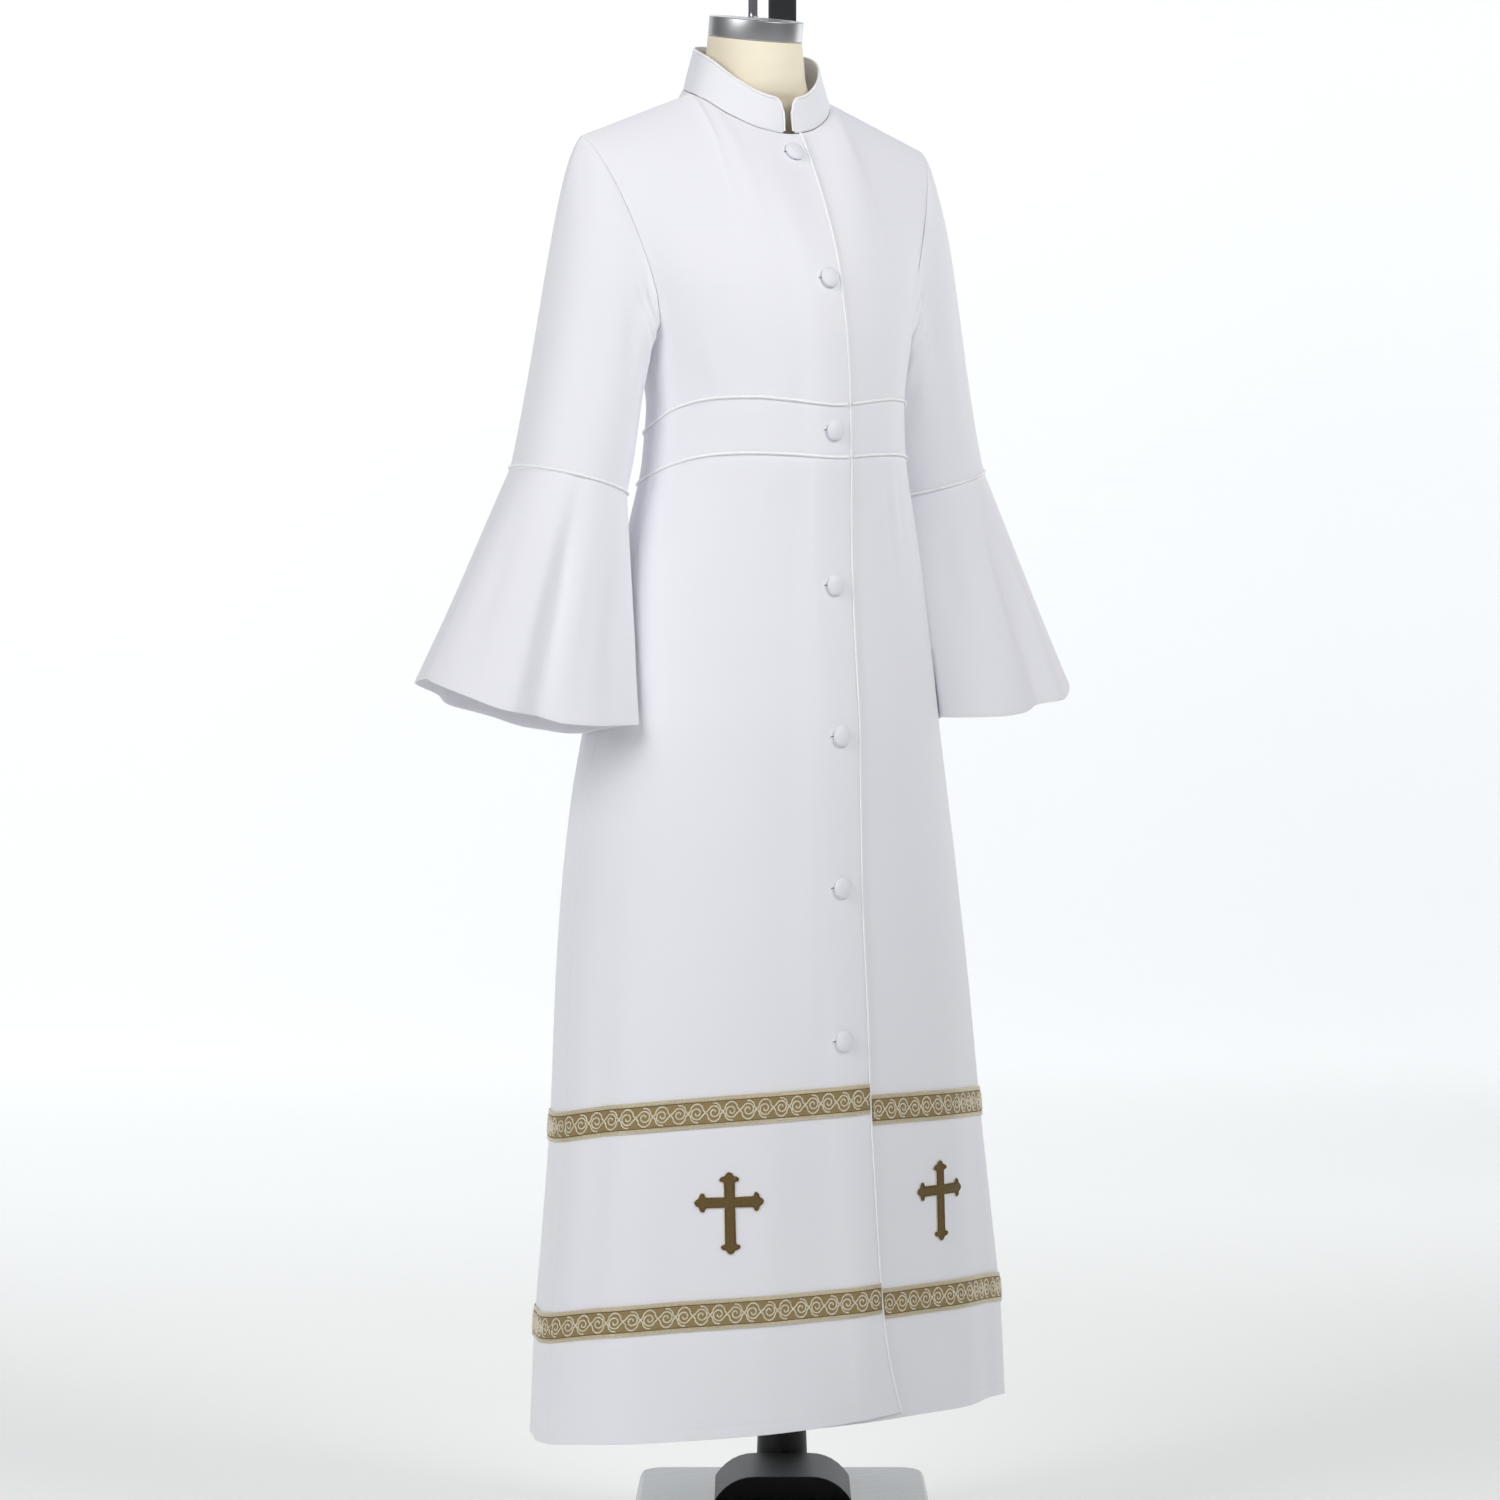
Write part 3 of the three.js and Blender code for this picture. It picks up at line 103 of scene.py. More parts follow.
class Table:
    """Rows of named columns, read on a monotone cubic through them.

    Args:
        names: the columns' names, the first of which is the key that rises from row to row.
        rows: the values of each row.
    """

    def __init__(self, names: str, *rows: tuple[float, ...]) -> None:
        """Keeps the columns and works out their tangents."""
        labels = names.split()
        self.columns = dict(zip(labels, zip(*rows)))
        self.keys = self.columns[labels[0]]
        self.tangents = {name: self._tangents(values) for name, values in self.columns.items()}

    def _tangents(self, values: Sequence[float]) -> list[float]:
        """Returns the slope of one column at each of its rows."""
        slopes = [
            (values[k + 1] - values[k]) / (self.keys[k + 1] - self.keys[k])
            for k in range(len(values) - 1)
        ]
        inner = [
            0.0 if before * after <= 0 else 2 * before * after / (before + after)
            for before, after in zip(slopes, slopes[1:])
        ]
        return [slopes[0], *inner, slopes[-1]]

    def read(self, name: str, at: float) -> float:
        """Returns one column's value.

        Args:
            name: the column.
            at: the key's value.

        Returns:
            The value there, or the end row's value beyond the table.
        """
        keys, values = self.keys, self.columns[name]
        if at <= keys[0]:
            return values[0]
        if at >= keys[-1]:
            return values[-1]
        k = 0
        while keys[k + 1] < at:
            k += 1
        span = keys[k + 1] - keys[k]
        t = (at - keys[k]) / span
        before, after = self.tangents[name][k] * span, self.tangents[name][k + 1] * span
        return (
            (1 + 2 * t) * (1 - t) ** 2 * values[k]
            + t * (1 - t) ** 2 * before
            + t * t * (3 - 2 * t) * values[k + 1]
            + t * t * (t - 1) * after
        )


class Side(Enum):
    """A side of the wearer, as the sign of its X."""

    RIGHT = -1
    LEFT = 1


@dataclass(frozen=True)
class Fold:
    """A soft fold that hangs from the waist or the hip to the hem."""

    angle: float
    width: float
    depth: float
    top: float

    def at(self, angle: float, height: float) -> float:
        """Returns how far the fold moves the cloth out at a place."""
        beside = turn_to(angle - self.angle) / self.width
        if abs(beside) > FOLD_REACH:
            return 0.0
        return self.depth * (1 - smooth(height, 0, self.top)) * math.exp(-beside * beside)


@dataclass(frozen=True)
class Crease:
    """A short soft trough or ridge. place is (turn, height), and lean moves it round as it rises."""

    place: tuple[float, float]
    width: float
    reach: float
    depth: float
    lean: float = 0.0

    def at(self, turn: float, height: float) -> float:
        """Returns how far the crease moves the cloth out at a place."""
        up = (height - self.place[1]) / self.reach
        beside = turn_to(turn - self.place[0] - self.lean * (height - self.place[1])) / self.width
        if max(abs(up), abs(beside)) > CREASE_REACH:
            return 0.0
        return self.depth * math.exp(-up * up - beside * beside)


class Robe:
    """The shape that the robe's panels lie on, with its folds and creases."""

    OVERLAP = 2.8
    OVERLAP_STARTS = (-17.0, -7.5)
    SIDE_SEAM = 90.0
    LEFT_FRONT_EDGE = -7.0
    WAIST_LEVELS = {"low": 1012.0, "high": 1066.0}
    UNDERARM = 1132.0
    CHEST = 1180.0
    CHEST_SLOPE = 8.0  # over and under the chest line, where the way up is taken
    FRONT_RISE = (56.0, -2.0)  # how far the shoulder curve's handle lies up the body, and back
    BACK_RISE = (62.0, 4.0)
    SPREAD = 4.0
    FRONT_REACH = 73.0
    BACK_REACH = 66.0
    NECK_SHARE = 0.42
    NECK_MIDDLE = 15.0
    NECK = {"half": 84.0, "front": 58.0, "back": 62.0}
    COLLAR_TOP = {"half": 71.0, "front": 55.0, "back": 60.0}
    SHOULDER_TIP = Vector((213.5, 20.0, 1345.0))
    HEM_TURN_UP = 12.7
    FACING = 44.0

    TRUNK = Table(
        "height half middle front back",
        (-30, 281, -17, 162, 181),
        (0, 279, -17, 161, 180),
        (100, 274, -16, 159, 176),
        (200, 264, -13, 156, 171),
        (320, 252, -8, 153, 166),
        (450, 242, 0, 150, 163),
        (568, 229, 6, 147, 162),
        (650, 217, 8, 146.5, 160),
        (725, 204, 6, 146, 152),
        (800, 191, -3, 140, 140),
        (880, 176, -11, 134, 126),
        (950, 160, -17, 132, 112),
        (1011, 147, -21, 134, 104),
        (1066, 144, -22, 134, 100),
        (1132, 157, -14, 133, 106),
        (1180, 168, -9, 127, 114),
        (1240, 176, -4, 106, 119),
    )
    RIGHT_LINES = Table(
        "angle hem low_braid high_braid",
        (-180, -14, 88, 295),
        (-140, -13, 89, 296),
        (-100, -8, 95, 301.5),
        (-65, 0, 109, 316),
        (-40, 3.5, 116, 323.5),
        (-20, 6, 118.5, 327.5),
        (0, 11, 120.5, 330),
        (16, 16, 123, 332),
    )
    LEFT_LINES = Table(
        "angle hem low_braid high_braid",
        (-10, 8, 115, 319),
        (12, 9, 115, 318),
        (35, 9, 114.5, 315.5),
        (57, 8, 110, 311),
        (90, -4, 98, 303),
        (140, -13, 89, 296),
        (180, -14, 88, 295),
    )
    WAIST = Table(
        "angle low high",
        (-20, 1015.2, 1071),
        (0, 1012.3, 1066.5),
        (20, 1015.2, 1071),
        (37, 1016.4, 1074),
        (52, 1015.2, 1073.2),
        (65, 1011.3, 1069.5),
        (80, 1003.5, 1061),
        (94, 995, 1050),
        (110, 987, 1041),
        (135, 983, 1036),
        (180, 982, 1035),
    )
    FRONT_EDGE = Table(
        "height across",
        (0, 66),
        (20, 60),
        (65, 49),
        (123, 40.5),
        (237, 33.5),
        (329, 28.5),
        (420, 26.5),
        (555, 21.5),
        (720, 19),
        (927, 17.5),
        (1066, 14.7),
        (1180, 9.7),
    )
    NECK_LINES = Table(
        "angle base top",
        (-20, 1355, 1390),
        (0, 1351, 1386),
        (20, 1355, 1390),
        (45, 1369, 1405),
        (70, 1386, 1424),
        (90, 1394, 1434),
        (120, 1401, 1442),
        (150, 1405, 1446),
        (180, 1406, 1447),
    )
    ARRIVAL = Table(
        "share front_in front_deep front_up back_in back_deep back_up",
        (-0.42, 2, 52, 24, 2, 50, 22),
        (0, 0, 33, 50, 0, 22, 52),
        (0.42, 2, 52, 24, 2, 50, 22),
        (1, 8, 40, 20, 8, 38, 20),
    )
    FOLDS = (
        Fold(-58, 11, 4, 620),
        Fold(-30, 9, -3, 420),
        Fold(21, 8, -5, 700),
        Fold(36, 8, 5, 620),
        Fold(53, 8, -6, 560),
        Fold(74, 10, 5, 640),
        Fold(108, 10, -6, 760),
        Fold(130, 11, 7, 820),
        Fold(154, 11, -6, 700),
        Fold(178, 12, 6, 780),
        Fold(-156, 11, -7, 800),
        Fold(-132, 11, 7, 760),
        Fold(-110, 10, -6, 660),
    )
    CREASES = (
        Crease((-8, 250), 5, 190, -2.4),
        Crease((-20, 210), 6, 160, 2.1),
        Crease((3, 150), 4, 130, 1.8),
        Crease((-44, 160), 8, 140, -2.7),
        Crease((-72, 300), 7, 240, -3.3),
        Crease((30, 930), 3, 60, -1.5),
        Crease((34, 955), 2.4, 44, 1.35),
        Crease((40, 962), 2.2, 36, -1.2),
        Crease((24, 965), 2.4, 34, 1.05),
        Crease((14, 962), 2.6, 30, -0.9),
        Crease((60, 930), 3, 60, 1.5),
        Crease((-30, 972), 3, 30, 0.9),
        Crease((-52, 968), 3, 34, -0.9),
        Crease((110, 930), 3.5, 52, 1.8),
        Crease((124, 935), 3, 48, -1.65),
        Crease((150, 925), 4, 56, 1.5),
        Crease((-115, 930), 3.5, 50, -1.65),
        Crease((-128, 936), 3, 46, 1.65),
        Crease((-150, 925), 4, 58, -1.5),
        Crease((-54, 1108), 4, 26, 1.35),
        Crease((-40, 1096), 3.4, 20, -1.05),
        Crease((-22, 1094), 3.2, 20, 0.9),
        Crease((26, 1094), 3, 20, -1.05),
        Crease((38, 1098), 3.2, 22, 1.05),
        Crease((52, 1104), 3.6, 26, -1.35),
        Crease((118, 1090), 5, 34, -1.8),
        Crease((-118, 1090), 5, 34, -1.8),
        Crease((137, 1080), 5, 30, 1.5),
        Crease((-140, 1080), 5, 30, 1.5),
        Crease((-75, 1140), 5, 30, -2.1, 0.12),
        Crease((75, 1140), 5, 30, -2.1, -0.12),
    )

    def trunk(self, angle: float, height: float, out: float = 0.0) -> Vector:
        """Returns a point of the body, moved out by some millimetres."""
        read = self.TRUNK.read
        half = read("half", height) + out
        middle = read("middle", height)
        fold = 1 + sum(f.at(angle, height) for f in self.FOLDS) / half
        if cos(angle) > 0:
            depth = read("front", height) + middle + out
        else:
            depth = read("back", height) - middle + out
        return Vector((fold * half * sin(angle), middle - fold * depth * cos(angle), height))

    def creases(self, angle: float, height: float) -> float:
        """Returns how far the small creases move the cloth out."""
        return sum(crease.at(angle, height) for crease in self.CREASES)

    def skin(self, angle: float, height: float, out: float = 0.0) -> Vector:
        """Returns a point of the creased cloth, moved out by some millimetres."""
        return self.trunk(angle, height, out + self.creases(angle, height))

    def normal(self, angle: float, height: float) -> Vector:
        """Returns the way out of the cloth at a place."""
        across = self.skin(angle + 0.5, height) - self.skin(angle - 0.5, height)
        up = self.skin(angle, height + 3) - self.skin(angle, height - 3)
        return across.cross(up).normalized()

    def angle_at(self, across: float, height: float) -> float:
        """Returns the angle of the front at which the body lies across millimetres from the centre."""
        angle = math.degrees(math.asin(across / self.TRUNK.read("half", height)))
        for _ in range(6):
            miss = across - self.skin(angle, height).x
            angle += math.degrees(miss / self.TRUNK.read("half", height)) / max(0.3, cos(angle))
        return angle

    def right_out(self, angle: float) -> float:
        """Returns how far the right front lies outside the left one at an angle."""
        return self.OVERLAP * smooth(angle, *self.OVERLAP_STARTS)

    def edge_angle(self, height: float) -> float:
        """Returns the angle of the right front's piped edge."""
        level = min(height, self.CHEST)
        across = self.FRONT_EDGE.read("across", level)
        return math.degrees(math.asin(across / self.TRUNK.read("half", level)))

    def seam_angle(self, height: float) -> float:
        """Returns half the angle that a side seam's gap takes."""
        return math.degrees(SEAM_GAP / 2 / self.TRUNK.read("half", height))

    def waist(self, column: str, angle: float) -> float:
        """Returns the waistband's low or high line at an angle."""
        return self.WAIST.read(column, abs(turn_to(angle)))

    def neck_point(self, size: dict[str, float], column: str, angle: float) -> Vector:
        """Returns a point of the neckline or of the collar's top edge."""
        depth = size["front"] if cos(angle) > 0 else size["back"]
        height = self.NECK_LINES.read(column, abs(turn_to(angle)))
        return Vector((size["half"] * sin(angle), self.NECK_MIDDLE - depth * cos(angle), height))

    def upper_edge(self, share: float, side: int, is_front: bool) -> Vector:
        """Returns a point of the neckline and the shoulder seam, from the centre out to the tip."""
        if share < self.NECK_SHARE:
            turn = 90 * share / self.NECK_SHARE
            point = self.neck_point(self.NECK, "base", turn if is_front else 180 - turn)
            return Vector((point.x * side, point.y, point.z))
        start = self.neck_point(self.NECK, "base", 90)
        along = (share - self.NECK_SHARE) / (1 - self.NECK_SHARE)
        point = start.lerp(self.SHOULDER_TIP, along)
        apart = -SEAM_GAP / 2 if is_front else SEAM_GAP / 2
        return Vector((point.x * side, point.y + apart, point.z))

    def over_shoulder(self, signed: float, rise: float, is_front: bool) -> Vector:
        """Returns a point between the chest line and the upper edge.

        Args:
            signed: the angle from the panel's own centre at the chest line.
            rise: 0 at the chest line and 1 at the upper edge.
            is_front: whether the panel is a front.

        Returns:
            The point, in millimetres.
        """
        side = -1 if signed < 0 else 1
        word, sign = ("front", 1) if is_front else ("back", -1)
        share = min(1.0, abs(signed) / (self.FRONT_REACH if is_front else self.BACK_REACH))
        angle = signed if is_front else 180 - signed
        low = self.trunk(angle, self.CHEST)
        high = self.upper_edge(share, side, is_front)
        over = self.trunk(angle, self.CHEST + self.CHEST_SLOPE)
        away = (over - self.trunk(angle, self.CHEST - self.CHEST_SLOPE)).normalized()
        rises, back = self.FRONT_RISE if is_front else self.BACK_RISE
        second = low + away * rises + Vector((side * self.SPREAD * share, back, 0))
        inward, deep, up = (self.ARRIVAL.read(f"{word}_{part}", share) for part in ("in", "deep", "up"))
        arrive = Vector((side * inward, sign * deep, up))
        return bezier(low, second, high - arrive, high, rise)


ROBE = Robe()


def bezier(a: Vector, b: Vector, c: Vector, d: Vector, t: float) -> Vector:
    """Returns a point of the cubic with the ends a and d and the handles b and c."""
    s = 1 - t
    return a * s**3 + b * (3 * s * s * t) + c * (3 * s * t * t) + d * t**3


@dataclass(frozen=True)
class Panel:
    """One of the three panels that go round the body.

    Args:
        label: the end of its pieces' names.
        columns: how many steps its rows have.
    """

    label: str
    columns: int

    def span(self, guess: float) -> tuple[float, float]:
        """Returns the first and last angle of a row whose mean height is guess."""
        seam = ROBE.SIDE_SEAM - ROBE.seam_angle(guess)
        if self.label == "front_right":
            return -seam, ROBE.edge_angle(guess)
        if self.label == "front_left":
            return ROBE.LEFT_FRONT_EDGE, seam
        return 180 - seam, 180 + seam

    def out(self, angle: float) -> float:
        """Returns the outward shift of the panel's face at an angle."""
        return ROBE.right_out(turn_to(angle)) if self.label == "front_right" else 0.0

    def line(self, column: str, angle: float) -> float:
        """Returns the height of the hem or of a braid's lower edge at an angle."""
        turned = turn_to(angle)
        on_right = self.label == "front_right" or (self.label == "back" and turned < 0)
        return (ROBE.RIGHT_LINES if on_right else ROBE.LEFT_LINES).read(column, turned)

    def crowded(self, first: float, last: float, columns: int) -> list[float]:
        """Returns a bodice row's angles, closer together where they end at the neckline."""

        def crowd(share: float) -> float:
            return math.copysign(abs(share) ** 1.3, share)

        if self.label == "back":
            return [lerp(first, last, (1 + crowd(s)) / 2) for s in evenly(-1, 1, columns)]
        if self.label == "front_left":
            return [lerp(first, last, crowd(s)) for s in evenly(0, 1, columns)]
        return [lerp(last, first, crowd(s)) for s in evenly(1, 0, columns)]


FRONT_RIGHT = Panel("front_right", 96)
FRONT_LEFT = Panel("front_left", 84)
BACK = Panel("back", 150)
PANELS = (FRONT_RIGHT, FRONT_LEFT, BACK)


def linear(hex_colour: str, alpha: float = 1.0) -> tuple[float, float, float, float]:
    """Turns an sRGB hex colour such as "E8E6F0" to linear red, green, blue and alpha."""
    values = [int(hex_colour[k : k + 2], 16) / 255 for k in (0, 2, 4)]
    red, green, blue = [
        v / 12.92 if v <= 0.04045 else ((v + 0.055) / 1.055) ** 2.4 for v in values
    ]
    return red, green, blue, alpha


class Nodes:
    """The node tree of a material, with short ways to add patterns to its shader."""

    def __init__(self, material: bpy.types.Material) -> None:
        """Turns the material's nodes on and keeps them."""
        material.use_nodes = True
        self.tree = material.node_tree
        self.shader = self.tree.nodes["Principled BSDF"]

    def add(self, kind: str, inputs: dict[str | int, object], **settings: object) -> bpy.types.Node:
        """Adds a node with its settings, its values and its links.

        Args:
            kind: the node's type after the word ShaderNode.
            inputs: for each input's name or number, a value or the socket that feeds it.
            settings: the node's own properties.

        Returns:
            The new node.
        """
        node = self.tree.nodes.new("ShaderNode" + kind)
        for name, value in settings.items():
            setattr(node, name, value)
        self.feed(node, inputs)
        return node

    def feed(self, node: bpy.types.Node, inputs: dict[str | int, object]) -> None:
        """Gives a node's inputs their values, or the sockets that feed them."""
        for name, value in inputs.items():
            if isinstance(value, Socket):
                self.tree.links.new(value, node.inputs[name])
            else:
                node.inputs[name].default_value = value

    def shade(self, inputs: dict[str | int, object]) -> None:
        """Gives the shader's inputs their values or sockets."""
        self.feed(self.shader, inputs)

    def place(self, kind: str = "Object") -> Socket:
        """Returns the place in metres on the piece, or with "UV" along its threads."""
        return self.add("TexCoord", {}).outputs[kind]

    def maths(self, operation: str, *values: object) -> Socket:
        """Returns the result of a Math node on values or sockets."""
        return self.add("Math", dict(enumerate(values)), operation=operation).outputs[0]

    def along(self, place: Socket, way: Vector) -> Socket:
        """Returns how far a place lies along a way."""
        return self.add("VectorMath", {0: place, 1: way}, operation="DOT_PRODUCT").outputs["Value"]

    def ramp(self, value: Socket, span: tuple[float, float], out: tuple[float, float]) -> Socket:
        """Returns a value that runs from out[0] to out[1] as the given one runs over a span."""
        names = ("From Min", "From Max", "To Min", "To Max")
        return self.add("MapRange", {"Value": value, **dict(zip(names, (*span, *out)))}).outputs["Result"]

    def noise(self, place: Socket, scale: float, detail: float, rough: float = 0.5) -> Socket:
        """Returns the value of a noise with scale grains to the metre."""
        given = {"Vector": place, "Scale": scale, "Detail": detail, "Roughness": rough}
        return self.add("TexNoise", given).outputs[0]

    def wave(self, value: Socket, apart: float) -> Socket:
        """Returns a wave with a crest every apart millimetres."""
        return self.maths("SINE", self.maths("MULTIPLY", value, math.tau / (apart * MM)))

    def mix(self, mask: Socket, first: object, second: object) -> Socket:
        """Returns a mix of two colours, each a value or a socket, by a mask."""
        return self.add("Mix", {0: mask, 6: first, 7: second}, data_type="RGBA").outputs[2]

    def bump(self, height: Socket, strength: float, depth: float) -> None:
        """Raises the surface by a pattern up to depth millimetres, over what was raised before."""
        given = {"Height": height, "Strength": strength, "Distance": depth * MM}
        before = self.shader.inputs["Normal"].links
        if before:
            given["Normal"] = before[0].from_socket
        self.shade({"Normal": self.add("Bump", given).outputs[0]})


@dataclass(frozen=True)
class Finish:
    """What every finish has: its name, its colour and the gloss of its surface."""

    name: str
    colour: str
    roughness: float
    metallic: float = 0.0

    def material(self) -> bpy.types.Material:
        """Returns the finish as a material, made once."""
        known = bpy.data.materials.get(self.name)
        if known:
            return known
        made = bpy.data.materials.new(self.name)
        made.diffuse_color = linear(self.colour)
        nodes = Nodes(made)
        nodes.shade(
            {
                "Base Color": linear(self.colour),
                "Roughness": self.roughness,
                "Metallic": self.metallic,
            }
        )
        self.dress(nodes)
        return made

    def dress(self, nodes: Nodes) -> None:
        """Adds the finish's own pattern to the plain shader."""

    def tint(self, nodes: Nodes, mask: Socket, other: str) -> Socket:
        """Returns the finish's colour mixed with another one where a mask is bright."""
        return nodes.mix(mask, linear(self.colour), linear(other))

    def stain(self, nodes: Nodes, mask: Socket, other: str) -> None:
        """Gives the surface that mixed colour."""
        nodes.shade({"Base Color": self.tint(nodes, mask, other)})

    def vary_gloss(self, nodes: Nodes, mask: Socket, spread: float, less: float) -> None:
        """Makes the roughness run from less under the finish's own up by spread, by a mask."""
        rough = nodes.maths("ADD", nodes.maths("MULTIPLY", mask, spread), self.roughness - less)
        nodes.shade({"Roughness": rough})


@dataclass(frozen=True)
class RobeCloth(Finish):
    """White polyester twill of a middle weight: a smooth, cool, half-matt face.

    The twill's real ribs are 0.45 mm apart. They are drawn 0.9 mm apart, so that they show.
    """

    rib: float = 0.9
    slant: float = 63.0
    weave_depth: float = 0.05
    handle: float = 0.35

    def dress(self, nodes: Nodes) -> None:
        """Adds the twill, the soft unevenness of hung cloth and a cool sheen."""
        turn = (0, 0, math.radians(self.slant))
        slanted = nodes.add("Mapping", {"Vector": nodes.place("UV"), "Rotation": turn})
        ribs = nodes.add(
            "TexWave",
            {
                "Vector": slanted.outputs[0],
                "Scale": math.tau / (20 * self.rib * MM),
                "Distortion": 0.6,
                "Detail": 1.0,
                "Detail Scale": 2.0,
            },
            wave_type="BANDS",
            bands_direction="X",
        )
        nodes.bump(ribs.outputs["Fac"], 0.25, self.weave_depth)
        body = nodes.place()
        nodes.bump(nodes.noise(body, 14.0, 3.0, 0.45), 0.35, 1.2)
        self.stain(nodes, nodes.maths("MULTIPLY", nodes.noise(body, 4.0, 2.0), self.handle), "E9E8F1")
        nodes.shade({"Sheen Weight": 0.18, "Sheen Roughness": 0.45, "Specular IOR Level": 0.35})


@dataclass(frozen=True)
class PipingSatin(Finish):
    """Satin-faced bias strip over a cord: brighter and glossier than the cloth beside it."""

    def dress(self, nodes: Nodes) -> None:
        """Adds the fine grain of a bias-cut strip."""
        nodes.bump(nodes.noise(nodes.place(), 900.0, 2.0), 0.3, 0.15)
        nodes.shade({"Sheen Weight": 0.1})


@dataclass(frozen=True)
class BraidGround(Finish):
    """Woven braid ground: antique-gold weft over brown warp, with metal thread that glints.

    Its real ribs are 0.7 mm apart. They are drawn 1.1 mm apart, so that they show.
    """

    height: float = 31.5
    border: float = 4.6
    line: float = 0.55
    rib: float = 1.1

    def dress(self, nodes: Nodes) -> None:
        """Adds the ribs, the pale borders, the darker lines inside them and the glints."""
        place = nodes.place("UV")
        split = nodes.add("SeparateXYZ", {"Vector": place}).outputs
        up = nodes.maths("MULTIPLY", split["Y"], 1 / MM)
        from_middle = nodes.maths("ABSOLUTE", nodes.maths("SUBTRACT", up, self.height / 2))
        inner = self.height / 2 - self.border
        in_border = nodes.maths("GREATER_THAN", from_middle, inner)
        beside_line = nodes.maths("ABSOLUTE", nodes.maths("SUBTRACT", from_middle, inner))
        on_line = nodes.maths("LESS_THAN", beside_line, self.line)
        weave = nodes.maths("MULTIPLY", nodes.wave(split["X"], self.rib), nodes.wave(split["Y"], self.rib))
        grain = nodes.noise(place, 700.0, 2.0)
        pale = nodes.mix(grain, linear("CDBE98"), linear("F4ECD6"))
        with_border = nodes.mix(in_border, self.tint(nodes, grain, "97824F"), pale)
        glint = nodes.maths("MULTIPLY", nodes.maths("GREATER_THAN", grain, 0.56), 0.55)
        nodes.shade({"Base Color": nodes.mix(on_line, with_border, linear("6E5B3A")), "Metallic": glint})
        nodes.bump(nodes.maths("ADD", weave, grain), 0.6, 0.25)


@dataclass(frozen=True)
class MetalThread(Finish):
    """Lurex thread wound on a core: pale gold with broken glints."""

    dark: str = "A8946A"

    def dress(self, nodes: Nodes) -> None:
        """Adds the change between lit and shaded turns of the thread."""
        grain = nodes.noise(nodes.place(), 650.0, 2.0)
        sharp = nodes.maths("MULTIPLY", nodes.maths("SUBTRACT", grain, 0.35), 2.2)
        self.stain(nodes, sharp, self.dark)
        nodes.bump(grain, 0.5, 0.2)


@dataclass(frozen=True)
class FormJersey(Finish):
    """Undyed cotton jersey glued over papier-mache: matt, with fine knit columns 1.1 mm apart."""

    rib: float = 1.1

    def dress(self, nodes: Nodes) -> None:
        """Adds the knit columns and the faint mottling of undyed cotton."""
        round_form = nodes.add("SeparateXYZ", {"Vector": nodes.place("UV")}).outputs["X"]
        body = nodes.place()
        self.stain(nodes, nodes.noise(body, 60.0, 4.0), "FAEFD6")
        ribs = nodes.maths("MULTIPLY", nodes.wave(round_form, self.rib), 0.4)
        nodes.bump(nodes.maths("ADD", ribs, nodes.noise(body, 1200.0, 1.0)), 0.35, 0.2)
        nodes.shade({"Sheen Weight": 0.1})


@dataclass(frozen=True)
class BrushedSteel(Finish):
    """Stainless steel turned and brushed round: long fine scratches that stretch the gloss."""

    streak: tuple[float, float, float] = (3.0, 3.0, 900.0)

    def dress(self, nodes: Nodes) -> None:
        """Adds scratches that run round the disc."""
        spread = nodes.add("Mapping", {"Vector": nodes.place(), "Scale": self.streak})
        scratch = nodes.noise(spread.outputs[0], 1.0, 4.0)
        self.vary_gloss(nodes, scratch, 0.22, 0.1)
        nodes.bump(scratch, 0.12, 0.1)
        nodes.shade({"Anisotropic": 0.5})


@dataclass(frozen=True)
class Chrome(Finish):
    """Polished chrome plate: a near mirror with a few hairline marks."""

    def dress(self, nodes: Nodes) -> None:
        """Adds the hairline marks as small changes of gloss."""
        self.vary_gloss(nodes, nodes.noise(nodes.place(), 300.0, 3.0), 0.08, 0.04)


@dataclass(frozen=True)
class GlossEnamel(Finish):
    """Grey gloss enamel sprayed on cast iron, with painted reflection: light grey streaks along its length
    stand in for the bright room seen in its gloss.
    """

    turn: float = 33.0
    streak: tuple[float, float, float] = (6.0, 130.0, 20.0)

    def dress(self, nodes: Nodes) -> None:
        """Adds streaks across the plate, light grey painted reflection that also varies the real gloss,
        and the cast surface under the paint.
        """
        place = nodes.place()
        turn = (0, 0, math.radians(self.turn))
        turned = nodes.add("Mapping", {"Vector": place, "Rotation": turn, "Scale": self.streak})
        streak = nodes.noise(turned.outputs[0], 1.0, 5.0)
        # painted reflection: the light grey streaks stand in for the bright room mirrored in the gloss top
        self.stain(nodes, streak, "B4B7BA")
        self.vary_gloss(nodes, streak, 0.35, 0.15)
        nodes.bump(nodes.noise(place, 90.0, 4.0), 0.15, 0.4)
        nodes.shade({"Coat Weight": 0.5, "Coat Roughness": 0.12})


@dataclass(frozen=True)
class SatinPaint(Finish):
    """Black powder coat on steel tube: an even satin with a slight orange peel 2 mm across."""

    grain: float = 2.0

    def dress(self, nodes: Nodes) -> None:
        """Adds the orange peel."""
        peel = nodes.noise(nodes.place(), 1 / (self.grain * MM), 1.0)
        nodes.bump(peel, 0.15, 0.12)
        self.stain(nodes, peel, "232427")


@dataclass(frozen=True)
class MouldedPlastic(Finish):
    """Black ABS from a spark-eroded mould: fine pits 1.3 mm across, a low gloss."""

    pit: float = 1.3

    def dress(self, nodes: Nodes) -> None:
        """Adds the mould's pits."""
        given = {"Vector": nodes.place(), "Scale": 1 / (self.pit * MM)}
        pits = nodes.add("TexVoronoi", given).outputs["Distance"]
        nodes.bump(pits, 0.4, 0.25)
        self.stain(nodes, nodes.maths("MULTIPLY", pits, 0.5), "26272A")


